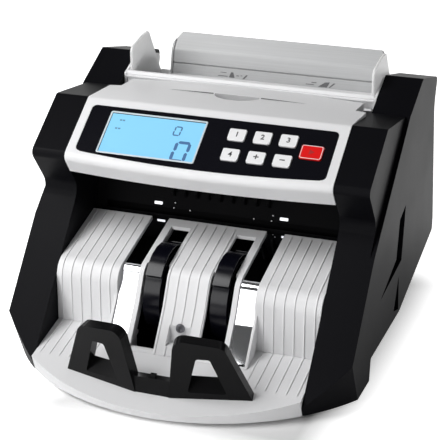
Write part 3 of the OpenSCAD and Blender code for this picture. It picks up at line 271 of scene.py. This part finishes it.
# Shafts, rollers and belts: ground shafts run in the bushes, with rubber rollers and wheels
# bonded to them and nylon pulleys on their ends. Black rubber belts drive them from the motor.
roller_rubber = grained("Roller rubber", (0.03, 0.03, 0.032), 0.62, grain=900, depth=0.35)
nylon = grained("Grey nylon", (0.34, 0.35, 0.37), 0.42, grain=1500, depth=0.1)
belt_rubber = grained("Belt rubber", (0.012, 0.012, 0.013), 0.6, grain=700, depth=0.3)
turning = {
    "feed_roller_shaft": ("feed_shaft", "feed_rollers", "feed_pulleys"),
    "pickup_roller_shaft": ("pickup_shaft", "pickup_wheels", "pickup_pulley"),
    "impeller_wheel_shaft": ("impeller_shaft", None, "impeller_pulley"),
}
for body, (shaft, rollers, pulley) in turning.items():
    dress(shaft, shaft + "_bar", 0.4, ground_steel, body)
    dress(pulley, pulley + "_moulding", 0.3, nylon, body)
    if rollers:
        dress(rollers, rollers + "_tyres", 0.8, roller_rubber, body)
dress("motor_pulley", "motor_pulley_moulding", 0.3, nylon, "motor_rotor")
dress("drive_belts", "belt_loops", 0.2, belt_rubber, "housing")

# Impellers: two wheels of curved flexible fingers, moulded in glossy black polyurethane, which
# pull each note down the chute. They are fixed to the impeller shaft.
finger_rubber = grained(
    "Impeller polyurethane", (0.003, 0.003, 0.006), 0.2, grain=300, depth=0.03, Specular_IOR_Level=0.25
)
for wheel in ("left_impeller", "right_impeller"):
    dress(wheel, wheel + "_fingers", 0.25, finger_rubber, "impeller_wheel_shaft")

# Throat: the dark ABS wall that the notes come out of, with a comb of ribs. A guide sheet stands
# behind its exit slot, and a dark screen closes the space under the chutes.
dark_abs = grained(
    "Dark ABS", (0.002, 0.002, 0.0025), 0.6, grain=2200, depth=0.1, Specular_IOR_Level=0.05
)
dress("throat_plate", "throat_wall", 0.3, dark_abs, "housing")
dress("feed_guide", "exit_sheet", 0.2, dark_abs, "housing")
dress("inner_screen", "dark_screen", 0.2, dark_abs, "housing")

# Throat roof: a thin bowed sheet of the same dark ABS, from the top of the throat wall forward to
# the lip of the top cover. Its front edge follows the bow of that lip.
roof_half_width = 96.5
roof_front = -38.1
roof_depth = 51.5
roof_level = 126.25
roof_bow = 0.8
roof_wall = 0.8
lip_bow_back = 3.1
lip_bow_up = 0.85
bpy.ops.object.select_all(action="DESELECT")
bpy.ops.mesh.primitive_plane_add(size=1)
roof = bpy.context.object
roof.name = "throat_roof"
bpy.ops.object.mode_set(mode="EDIT")
bpy.ops.mesh.select_all(action="SELECT")
bpy.ops.mesh.subdivide(number_cuts=11)
bpy.ops.object.mode_set(mode="OBJECT")
for point in roof.data.vertices:
    aside = 2 * point.co.x
    inward = point.co.y + 0.5
    edge = (1 - inward) * aside**2
    point.co = Vector((
        aside * roof_half_width,
        roof_front + inward * roof_depth + edge * lip_bow_back,
        roof_level + 4 * roof_bow * inward * (1 - inward) + edge * lip_bow_up,
    )) * MM
sheet = roof.modifiers.new("Wall", "SOLIDIFY")
sheet.thickness = roof_wall * MM
sheet.offset = 1
bpy.ops.object.modifier_apply(modifier=sheet.name)
bpy.ops.object.shade_smooth_by_angle(angle=radians(30))
fit(roof, dark_abs, "housing")

# Sensor windows: small pale plastic lenses pressed into the throat wall, lit from behind by the
# lamps of the counting sensors.
lens_glow = grained(
    "Sensor window", (0.9, 0.9, 0.92), 0.2, grain=400, depth=0.02,
    Emission_Color=(0.95, 0.96, 1, 1), Emission_Strength=1.0,
)
dress("sensor_lenses", "sensor_windows", 0.3, lens_glow, "housing")

# Throat pins: small round-headed pins of bright steel, pressed into the throat wall to hold the
# counting sensors behind it.
pin_steel = metal("Pin steel", (0.55, 0.55, 0.57), 0.2, (900, 900, 900))
pin_radius = 0.55
pin_length = 1.6
pin_rounding = 0.3
pin_stand = 0.2
wall_out = Vector((0, -0.985, 0.171))
pin_places = (
    (-34.8, 6.7, 95.4),
    (-35.6, 6.0, 91.6),
    (-23.0, 6.0, 91.2),
    (39.5, 6.7, 95.4),
    (38.7, 6.0, 91.6),
    (25.4, 6.0, 91.3),
)
for number, place in enumerate(pin_places, 1):
    bpy.ops.object.select_all(action="DESELECT")
    bpy.ops.mesh.primitive_cylinder_add(vertices=20, radius=pin_radius * MM, depth=pin_length * MM)
    pin = bpy.context.object
    pin.name = f"throat_pin_{number}"
    dome = pin.modifiers.new("Round head", "BEVEL")
    dome.width = pin_rounding * MM
    dome.segments = 3
    dome.limit_method = "ANGLE"
    bpy.ops.object.modifier_apply(modifier=dome.name)
    bpy.ops.object.shade_smooth_by_angle(angle=radians(40))
    pin.rotation_euler = wall_out.to_track_quat("Z", "Y").to_euler()
    pin.location = Vector(place) * MM + wall_out * pin_stand * MM
    bpy.ops.object.transform_apply(location=True, rotation=True)
    fit(pin, pin_steel, "housing")

# Chutes: three white ABS mouldings with fine ribs over the fold. The centre one sweeps forward
# to its foot, is slotted for the impellers, and is held by a cross-head screw in a sunk seat.
for chute in ("left_chute", "centre_chute", "right_chute"):
    dress(chute, chute + "_moulding", 0.25, white_abs, "housing")
screw_steel = metal("Screw steel", (0.26, 0.26, 0.28), 0.3, (700, 700, 700))
dress("chute_screw", "chute_screw_head", 0.15, screw_steel, "housing")

# Guide strips: polished spring steel in the two outer slots, from the back of the shelf over the
# fold to the floor, so that notes slide over them without catching.
bright_steel = grained(
    "Polished strip", (0.8, 0.81, 0.83), 0.035, grain=40, depth=0.0, tone=0.03, change=0.03, Metallic=1.0
)
for strip in ("left_guide_strip", "right_guide_strip"):
    dress(strip, strip + "_bright", 0.12, bright_steel, "housing")

# Stacker stop: two A-shaped mouldings on one bar, satin black ABS, hollow behind, clipped to the
# floor just behind the rim. It squares up the counted notes.
satin_black = grained(
    "Satin black ABS", (0.005, 0.005, 0.0055), 0.2, grain=2200, depth=0.06, Specular_IOR_Level=0.14
)
dress("stacker_stop", "stacker_stop_moulding", 0.9, satin_black, "housing", segments=3)

# Hopper: a white ABS floor between two cheeks, a rail across the front, and a bent satin grey
# plate that stands on the back of the floor. The two note guides are milky acrylic and slide
# along the rail.
plate_grey = metal("Satin grey plate", (0.5, 0.505, 0.51), 0.3, (14, 1100, 1100), 0.05, metallic=0.0)
milky = grained(
    "Milky acrylic", (0.94, 0.945, 0.95), 0.32, grain=600, depth=0.03,
    Subsurface_Weight=1.0, Subsurface_Radius=(1, 1, 1), Subsurface_Scale=0.012,
)
dress("hopper_tray", "hopper_floor", 0.4, white_abs, "housing")
dress("hopper_rail", "hopper_front_rail", 0.3, white_abs, "housing")
dress("hopper_back_plate", "hopper_plate", 0.4, plate_grey, "housing")
for side in ("left", "right"):
    guide = side + "_note_guide"
    dress(guide, side + "_guide_fin", 0.5, milky, side + "_guide", segments=3)

# Loading marks: plain grey shapes, printed as a thin film of ink on the lower band of the hopper
# plate, where the notes are laid in.
film_mm = 0.06
plate_foot = Vector((0, 123.887, 156.22)) * MM
plate_lean = radians(78.5)
to_plate = Matrix.Translation(plate_foot) @ Matrix.Rotation(plate_lean, 4, "X")
mark_grey = grained("Mark grey", (0.13, 0.13, 0.135), 0.5, grain=900, depth=0.0)
mark_corners = (
    ((-46.5, 1.2), (-38.5, 1.2), (-37.3, 1.8), (-45.2, 1.8)),
    ((-44.5, 4.0), (-39.5, 4.0), (-38.8, 4.5), (-43.8, 4.5)),
    ((-37.0, 0.8), (-32.2, 0.8), (-33.6, 4.9), (-35.4, 4.9)),
    ((-31.0, 2.3), (-28.8, 2.3), (-28.6, 2.9), (-30.8, 2.9)),
    ((-27.6, 2.6), (-26.2, 2.6), (-26.0, 3.2), (-27.4, 3.2)),
    ((-26.0, 0.6), (-24.4, 0.6), (-21.6, 3.6), (-22.9, 3.8)),
    ((25.0, 1.6), (31.5, 1.6), (32.0, 2.1), (25.5, 2.1)),
    ((29.5, 3.2), (33.5, 3.2), (33.8, 3.8), (29.8, 3.8)),
    ((35.0, 0.7), (42.0, 0.7), (44.2, 4.8), (40.4, 4.4)),
    ((43.4, 0.8), (44.6, 0.8), (48.6, 4.2), (47.2, 4.4)),
)


def set_down(piece, place):
    """Puts a piece that was drawn flat in its place, with that place in its mesh."""
    bpy.ops.object.select_all(action="DESELECT")
    piece.select_set(True)
    bpy.context.view_layer.objects.active = piece
    piece.matrix_world = place @ piece.matrix_world
    bpy.ops.object.transform_apply(location=True, rotation=True, scale=True)
    return piece


def printed_shape(name, corners, place, level=0.0):
    """A thin printed film with these corners, in millimetres on a flat place."""
    bpy.ops.object.select_all(action="DESELECT")
    bpy.ops.mesh.primitive_circle_add(vertices=len(corners), radius=MM, fill_type="NGON")
    film = bpy.context.object
    film.name = name
    for point, (x, v) in zip(film.data.vertices, corners):
        point.co = Vector((x, v, level)) * MM
    bpy.ops.object.mode_set(mode="EDIT")
    bpy.ops.mesh.select_all(action="SELECT")
    bpy.ops.mesh.extrude_region_move(TRANSFORM_OT_translate={"value": (0, 0, film_mm * MM)})
    bpy.ops.mesh.select_all(action="SELECT")
    bpy.ops.mesh.normals_make_consistent(inside=False)
    bpy.ops.object.mode_set(mode="OBJECT")
    return set_down(film, place)


for number, corners in enumerate(mark_corners, 1):
    mark = printed_shape(f"loading_mark_{number}", corners, to_plate)
    fit(mark, mark_grey, "housing")

# Rear cover: the white ABS back wall with vents, held by screws. It carries the mains inlet, the
# rocker switch in its frame, and the ribbed knob that sets the gap for the thickness of the notes.
# The same screws hold the toes of the side covers.
port_black = grained("Port black", (0.012, 0.012, 0.013), 0.45, grain=1500, depth=0.15)
dress("rear_cover", "rear_wall", 0.5, white_abs, "housing")
dress("power_inlet", "mains_inlet", 0.4, port_black, "housing")
dress("rocker_frame", "rocker_bezel", 0.4, port_black, "housing")
dress("rocker_switch", "rocker_lever", 0.3, port_black, "rocker")
dress("gap_knob", "gap_adjuster", 0.4, port_black, "adjuster")
dress("cover_screws", "cover_screw_heads", 0.15, screw_steel, "housing")

# Side covers: two black ABS shells with a satin grain. The chin follows the flare of the rim, the
# nose block stands in from the outer wall, and two wedge-shaped grooves are pressed into the wall.
cover_black = grained(
    "Satin black cover", (0.0045, 0.0045, 0.0058), 0.38, grain=2600, depth=0.1, Specular_IOR_Level=0.04
)
for cover in ("left_side_cover", "right_side_cover"):
    dress(cover, cover + "_shell", 1.0, cover_black, "housing", segments=3)

# Top cover: a white ABS shell with the display slope in front, a finger scoop on top, and cut corners
# behind. It clips between the side covers. Thin films of painted shade lie on it: a dark one along the
# crease, where the lid's front edge would shade it, and a grey one in the scoop.
dress("top_cover", "top_cover_shell", 0.6, white_abs, "housing", segments=3)
crease_middle = Vector((0, 39.98, 169.353)) * MM
to_crease = Matrix.Translation(crease_middle) @ Matrix.Rotation(radians(90), 4, "X")
crease_stations = (18, 27, 36, 45, 52)
crease_height = 0.9
crease_radius = 1600
scoop_corners = ((-17, -3.1), (17, -3.1), (17, 0.72), (0, 0.8), (-17, 0.72))
# Painted shadow: a dark film along the crease stands in for the shadow under the lid's front edge.
crease_shade_grey = grained("Painted crease shade", (0.1, 0.1, 0.1), 0.6, grain=900, depth=0.0)
# Painted shade: a grey film in the scoop stands in for the shade of its bowl.
scoop_shade_grey = grained("Painted scoop shade", (0.42, 0.42, 0.425), 0.5, grain=1800, depth=0.05)
# The crease films are painted shadow, thickest in the middle and tapering to both ends.
for side, name in ((-1, "left"), (1, "right")):
    foot = [(side * crease_stations[0], 0.0), (side * crease_stations[-1], 0.0)]
    top = [(side * x, crease_height - x * x / (2 * crease_radius)) for x in reversed(crease_stations)]
    line = printed_shape(name + "_crease_painted_shade", foot + top, to_crease)
    fit(line, crease_shade_grey, "housing")
# The scoop film is painted shade, not a separate part.
scoop_shade_film = printed_shape("scoop_painted_shade", scoop_corners, to_crease)
fit(scoop_shade_film, scoop_shade_grey, "housing")

# Panel film: a glossy black printed film with windows for the display and the keys, stuck down on
# the display slope.
film_black = grained(
    "Panel film", (0.003, 0.003, 0.0055), 0.12, grain=350, depth=0.015, Specular_IOR_Level=0.3
)
dress("keypad_overlay", "panel_film", 0.12, film_black, "housing")

# Display: a sky-blue liquid crystal glass that is lit on its front face only, in a pale moulded frame. Dark
# strips of painted shade lie along the inside of the frame's top and left edges, where a recess would shade
# the glass. The dark digits and marks stand on the glass as thin segments.
panel_tilt = radians(35)
panel_edge = Vector((0, -2.511, 171.301)) * MM
to_panel = Matrix.Translation(panel_edge) @ Matrix.Rotation(panel_tilt, 4, "X")
panel_out = to_panel.to_3x3() @ Vector((0, 0, 1))
backlight_blue = (0.28, 0.62, 0.9)
glass_level = -0.2
digit_lean = 0.09
point_share = 0.42
gap_share = 0.35
glass_blue = grained(
    "Backlit glass", (0.15, 0.4, 0.6), 0.14, grain=30, depth=0.0, tone=0.08, Emission_Strength=0.5
)
nodes, link = glass_blue.node_tree.nodes, glass_blue.node_tree.links.new
facing = nodes.new("ShaderNodeTexCoord")
to_front = nodes.new("ShaderNodeVectorMath")
to_front.operation = "DOT_PRODUCT"
to_front.inputs[1].default_value = panel_out
front_only = nodes.new("ShaderNodeMath")
front_only.operation = "GREATER_THAN"
front_only.inputs[1].default_value = 0.5
backlight = nodes.new("ShaderNodeVectorMath")
backlight.operation = "SCALE"
backlight.inputs[0].default_value = backlight_blue
link(facing.outputs["Normal"], to_front.inputs[0])
link(to_front.outputs["Value"], front_only.inputs[0])
link(front_only.outputs[0], backlight.inputs["Scale"])
link(backlight.outputs["Vector"], nodes["Principled BSDF"].inputs["Emission Color"])
dress("lcd_display", "display_glass", 0.2, glass_blue, "housing")
digit_blue = grained("Digit segments", (0.045, 0.15, 0.34), 0.4, grain=300, depth=0.0)


def flat_frame(name, middle, size, corner, border, low, high):
    """A thin rectangular frame with rounded corners on the display slope."""
    bpy.ops.object.select_all(action="DESELECT")
    bpy.ops.mesh.primitive_plane_add(size=1)
    ring = bpy.context.object
    ring.name = name
    ring.scale = (size[0] * MM, size[1] * MM, 1)
    ring.location = (middle[0] * MM, middle[1] * MM, low * MM)
    bpy.ops.object.transform_apply(location=True, rotation=False, scale=True)
    bpy.ops.object.mode_set(mode="EDIT")
    bpy.ops.mesh.select_all(action="SELECT")
    bpy.ops.mesh.bevel(offset=corner * MM, segments=5, affect="VERTICES")
    bpy.ops.mesh.select_all(action="SELECT")
    bpy.ops.mesh.inset(thickness=border * MM)
    bpy.ops.mesh.delete(type="FACE")
    bpy.ops.mesh.select_all(action="SELECT")
    bpy.ops.mesh.extrude_region_move(TRANSFORM_OT_translate={"value": (0, 0, (high - low) * MM)})
    bpy.ops.mesh.select_all(action="SELECT")
    bpy.ops.mesh.normals_make_consistent(inside=False)
    bpy.ops.object.mode_set(mode="OBJECT")
    soft = ring.modifiers.new("Soft edges", "BEVEL")
    soft.width = 0.12 * MM
    soft.segments = 2
    soft.limit_method = "ANGLE"
    bpy.ops.object.modifier_apply(modifier=soft.name)
    bpy.ops.object.shade_smooth_by_angle(angle=radians(40))
    return set_down(ring, to_panel)


frame_pale = grained("Pale display frame", (0.62, 0.7, 0.74), 0.3, grain=1500, depth=0.03)
display_frame = flat_frame(
    "display_frame", middle=(-38.7, -28.55), size=(72.6, 36.5), corner=1.4, border=1.25, low=-0.02, high=0.3
)
fit(display_frame, frame_pale, "housing")


def segment(x, v, length, stroke, upright):
    """One bar of a digit on the glass, with pointed ends."""
    bpy.ops.object.select_all(action="DESELECT")
    bpy.ops.mesh.primitive_cube_add(size=1)
    bar = bpy.context.object
    bar.scale = (length * MM, stroke * MM, film_mm * MM)
    bpy.ops.object.transform_apply(scale=True)
    weights = bar.data.attributes.new("bevel_weight_edge", "FLOAT", "EDGE")
    for edge in bar.data.edges:
        start, end = (bar.data.vertices[i].co for i in edge.vertices)
        standing = abs(start.z - end.z) > film_mm / 2 * MM
        weights.data[edge.index].value = 1.0 if standing else 0.0
    ends = bar.modifiers.new("Pointed ends", "BEVEL")
    ends.width = stroke * point_share * MM
    ends.segments = 1
    ends.limit_method = "WEIGHT"
    bpy.ops.object.modifier_apply(modifier=ends.name)
    turn = Matrix.Rotation(radians(90), 4, "Z") if upright else Matrix.Identity(4)
    bar.matrix_world = Matrix.Translation(Vector((x, v, glass_level + film_mm / 2)) * MM) @ turn
    bpy.ops.object.transform_apply(location=True, rotation=True)
    return bar


def zero(name, x, v, width, height, stroke):
    """A nought of six segments, slightly slanted, as one piece."""
    half = height / 2
    bars = []
    for upright, dx, dv in (
        (False, 0, half),
        (False, 0, -half),
        (True, -width / 2, half / 2),
        (True, width / 2, half / 2),
        (True, -width / 2, -half / 2),
        (True, width / 2, -half / 2),
    ):
        length = (half if upright else width) - stroke * gap_share
        bars.append(segment(x + dx + digit_lean * dv, v + dv, length, stroke, upright))
    bpy.ops.object.select_all(action="DESELECT")
    for bar in bars:
        bar.select_set(True)
    bpy.context.view_layer.objects.active = bars[0]
    bpy.ops.object.join()
    bars[0].name = name
    return set_down(bars[0], to_panel)


count_digit = zero("count_digit", x=-14.7, v=-38.0, width=9.4, height=15.4, stroke=2.3)
fit(count_digit, digit_blue, "housing")
batch_digit = zero("batch_digit", x=-21.9, v=-21.1, width=4.6, height=7.2, stroke=1.0)
fit(batch_digit, digit_blue, "housing")
mark_blue = grained("Display mark", (0.1, 0.27, 0.42), 0.4, grain=300, depth=0.0)
# Painted shade: a dark ink for the strips that stand in for the shadow of the frame's recess on the glass.
frame_shade_ink = grained("Painted display frame shade", (0.02, 0.05, 0.07), 0.6, grain=300, depth=0.0)
for name, ink, (left, right, low, high) in (
    ("display_mark_1", mark_blue, (-66.6, -64.9, -17.9, -16.6)),
    ("display_mark_2", mark_blue, (-64.4, -62.6, -17.9, -16.6)),
    ("display_mark_3", mark_blue, (-67.8, -66.1, -25.2, -23.9)),
    ("display_mark_4", mark_blue, (-65.6, -63.8, -25.2, -23.9)),
    # The two strips below are painted shade along the frame's top and left inner edges.
    ("display_frame_shade_top", frame_shade_ink, (-73.6, -3.8, -12.05, -11.5)),
    ("display_frame_shade_left", frame_shade_ink, (-73.75, -73.45, -45.4, -11.6)),
):
    corners = ((left, low), (right, low), (right, high), (left, high))
    fit(printed_shape(name, corners, to_panel, glass_level), ink, "housing")

# Keys: white and red ABS caps that stand through the film on stems over their switches. Each cap
# has a printed sign, and the red start key has a pale rim.
key_rise = 1.0
first_key = (21, -18.9)
key_step = (18.4, 16.9)
number_size = 5.6
plus_size = 7.4
stroke_gain = 0.12
arrow_corners = ((74.2, -28.4), (78.2, -26.3), (74.2, -24.2))
key_white = grained("White key", (0.86, 0.86, 0.87), 0.3, grain=1500, depth=0.05)
key_red = grained("Red key", (0.74, 0.006, 0.006), 0.36, grain=1500, depth=0.04, Specular_IOR_Level=0.2)
for number in range(1, 7):
    key = f"key_{number}"
    dress(key, key + "_cap", 0.5, key_white, key + "_button", segments=3)
dress("start_key", "start_key_cap", 0.5, key_red, "start_key_button", segments=3)
sign_ink = grained("Sign ink", (0.02, 0.02, 0.022), 0.5, grain=900, depth=0.0)
rim_pale = grained("Pale key rim", (0.82, 0.62, 0.62), 0.35, grain=1500, depth=0.03)
rim = flat_frame(
    "start_key_rim", middle=(75.8, -26.3), size=(14.9, 10.9), corner=1.5, border=0.6,
    low=key_rise - 0.12, high=key_rise + 0.06,
)
fit(rim, rim_pale, "start_key_button")
red_ink = grained("Dark red ink", (0.42, 0.004, 0.004), 0.5, grain=900, depth=0.0)
arrow = printed_shape("start_key_sign", arrow_corners, to_panel, key_rise)
fit(arrow, red_ink, "start_key_button")
for row, signs in enumerate(("123", "4+−")):
    for column, sign in enumerate(signs):
        key = f"key_{row * 3 + column + 1}"
        bpy.ops.object.select_all(action="DESELECT")
        bpy.ops.object.text_add()
        mark = bpy.context.object
        mark.data.body = sign
        mark.data.align_x = "CENTER"
        mark.data.align_y = "CENTER"
        mark.data.size = (plus_size if sign in "+−" else number_size) * MM
        mark.data.offset = stroke_gain * MM
        mark.data.extrude = film_mm / 2 * MM
        bpy.ops.object.convert(target="MESH")
        mark = bpy.context.object
        mark.name = key + "_sign"
        mark.location = Vector((
            first_key[0] + key_step[0] * column,
            first_key[1] - key_step[1] * row,
            key_rise + film_mm / 2,
        )) * MM
        bpy.ops.object.transform_apply(location=True)
        fit(set_down(mark, to_panel), sign_ink, key + "_button")

# Floor: a matt pale sheet under the machine. It keeps the shadow close to the object and whitens
# away from it, and bright metal mirrors it as white only from farther off.
shadow_middle = (0.02, 0, 0)
shadow_half = (0.08, 0.132, 0)
white_from = 0.035
mirrored_white_from = 0.15
bpy.ops.object.select_all(action="DESELECT")
bpy.ops.mesh.primitive_plane_add(size=30)
floor = bpy.context.object
floor.name = "floor"
floor_paint = bpy.data.materials.new("Pale floor")
floor_paint.use_nodes = True
nodes, link = floor_paint.node_tree.nodes, floor_paint.node_tree.links.new
matt = nodes["Principled BSDF"]
matt.inputs["Base Color"].default_value = (0.85, 0.85, 0.85, 1)
matt.inputs["Roughness"].default_value = 0.9
matt.inputs["Specular IOR Level"].default_value = 0.1
matt.inputs["Emission Color"].default_value = (1, 1, 1, 1)
spot = nodes.new("ShaderNodeTexCoord")
away = spot.outputs["Object"]
for job, value in (
    ("SUBTRACT", shadow_middle),
    ("ABSOLUTE", None),
    ("SUBTRACT", shadow_half),
    ("MAXIMUM", (0, 0, 0)),
    ("LENGTH", None),
):
    reach = nodes.new("ShaderNodeVectorMath")
    reach.operation = job
    link(away, reach.inputs[0])
    if value:
        reach.inputs[1].default_value = value
    away = reach.outputs["Value" if job == "LENGTH" else "Vector"]
whiter = nodes.new("ShaderNodeMapRange")
whiter.inputs["From Max"].default_value = white_from
mirrored = nodes.new("ShaderNodeMapRange")
mirrored.inputs["From Max"].default_value = mirrored_white_from
link(away, whiter.inputs["Value"])
link(away, mirrored.inputs["Value"])
ray = nodes.new("ShaderNodeLightPath")
shiny = nodes.new("ShaderNodeMath")
shiny.operation = "MULTIPLY"
seen = nodes.new("ShaderNodeMath")
seen.operation = "ADD"
shown = nodes.new("ShaderNodeMath")
shown.operation = "ADD"
shown.use_clamp = True
lift = nodes.new("ShaderNodeMath")
lift.operation = "MULTIPLY"
link(ray.outputs["Is Glossy Ray"], shiny.inputs[0])
link(mirrored.outputs["Result"], shiny.inputs[1])
link(ray.outputs["Is Camera Ray"], seen.inputs[0])
link(shiny.outputs[0], seen.inputs[1])
link(seen.outputs[0], shown.inputs[0])
link(ray.outputs["Is Transmission Ray"], shown.inputs[1])
link(shown.outputs[0], lift.inputs[0])
link(whiter.outputs["Result"], lift.inputs[1])
link(lift.outputs[0], matt.inputs["Emission Strength"])
floor.data.materials.append(floor_paint)

# Room: a plain studio that is light at the horizon and dim overhead, so that the glossy black
# panel film mirrors little of it.
overhead_from = 0.45
world = bpy.data.worlds.new("Studio")
world.use_nodes = True
nodes, link = world.node_tree.nodes, world.node_tree.links.new
way = nodes.new("ShaderNodeTexCoord")
parts = nodes.new("ShaderNodeSeparateXYZ")
room = nodes.new("ShaderNodeValToRGB")
horizon, overhead = room.color_ramp.elements
horizon.color = (0.9, 0.9, 0.9, 1)
overhead.position = overhead_from
overhead.color = (0.1, 0.1, 0.1, 1)
link(way.outputs["Generated"], parts.inputs[0])
link(parts.outputs["Z"], room.inputs["Fac"])
link(room.outputs["Color"], nodes["Background"].inputs["Color"])
bpy.context.scene.world = world

# Soft boxes: a high one at the left, a large low one in front at the left, which the guide strips
# mirror, and a weak one behind at the left.


def soft_box(name, place, aim, width, height, watts):
    """A rectangular soft light that faces a point."""
    lamp = bpy.data.lights.new(name, "AREA")
    lamp.shape = "RECTANGLE"
    lamp.size = width
    lamp.size_y = height
    lamp.energy = watts
    holder = bpy.data.objects.new(name, lamp)
    bpy.context.collection.objects.link(holder)
    holder.location = place
    holder.rotation_euler = (Vector(aim) - Vector(place)).to_track_quat("-Z", "Y").to_euler()


soft_box("left_box", (-0.56, -0.47, 1.02), aim=(0, 0, 0.08), width=0.55, height=0.55, watts=8.4)
soft_box("front_box", (-0.659, -1.24, 0.627), aim=(0, 0, 0.08), width=0.8, height=0.84, watts=8.0)
soft_box("back_box", (-0.9, 1.1, 0.69), aim=(0, 0, 0.12), width=0.7, height=0.45, watts=2.0)

# Camera: a long lens at the viewing angle of the photograph, a little to the right of the front
# and above it.
camera_turn = radians(20.383)
camera_tilt = radians(21.5)
camera_place = Vector((350.4, -938.19, 483.63)) * MM
back = Vector((
    sin(camera_turn) * cos(camera_tilt),
    -cos(camera_turn) * cos(camera_tilt),
    sin(camera_tilt),
))
right = Vector((cos(camera_turn), sin(camera_turn), 0))
camera_axes = Matrix((right, back.cross(right), back)).transposed().to_4x4()
camera = bpy.data.objects.new("camera", bpy.data.cameras.new("camera"))
bpy.context.collection.objects.link(camera)
camera.matrix_world = Matrix.Translation(camera_place) @ camera_axes
camera.data.sensor_width = 36
camera.data.lens = 123.794
camera.data.clip_start = 0.05
bpy.context.scene.camera = camera
bpy.context.scene.view_settings.view_transform = "Standard"
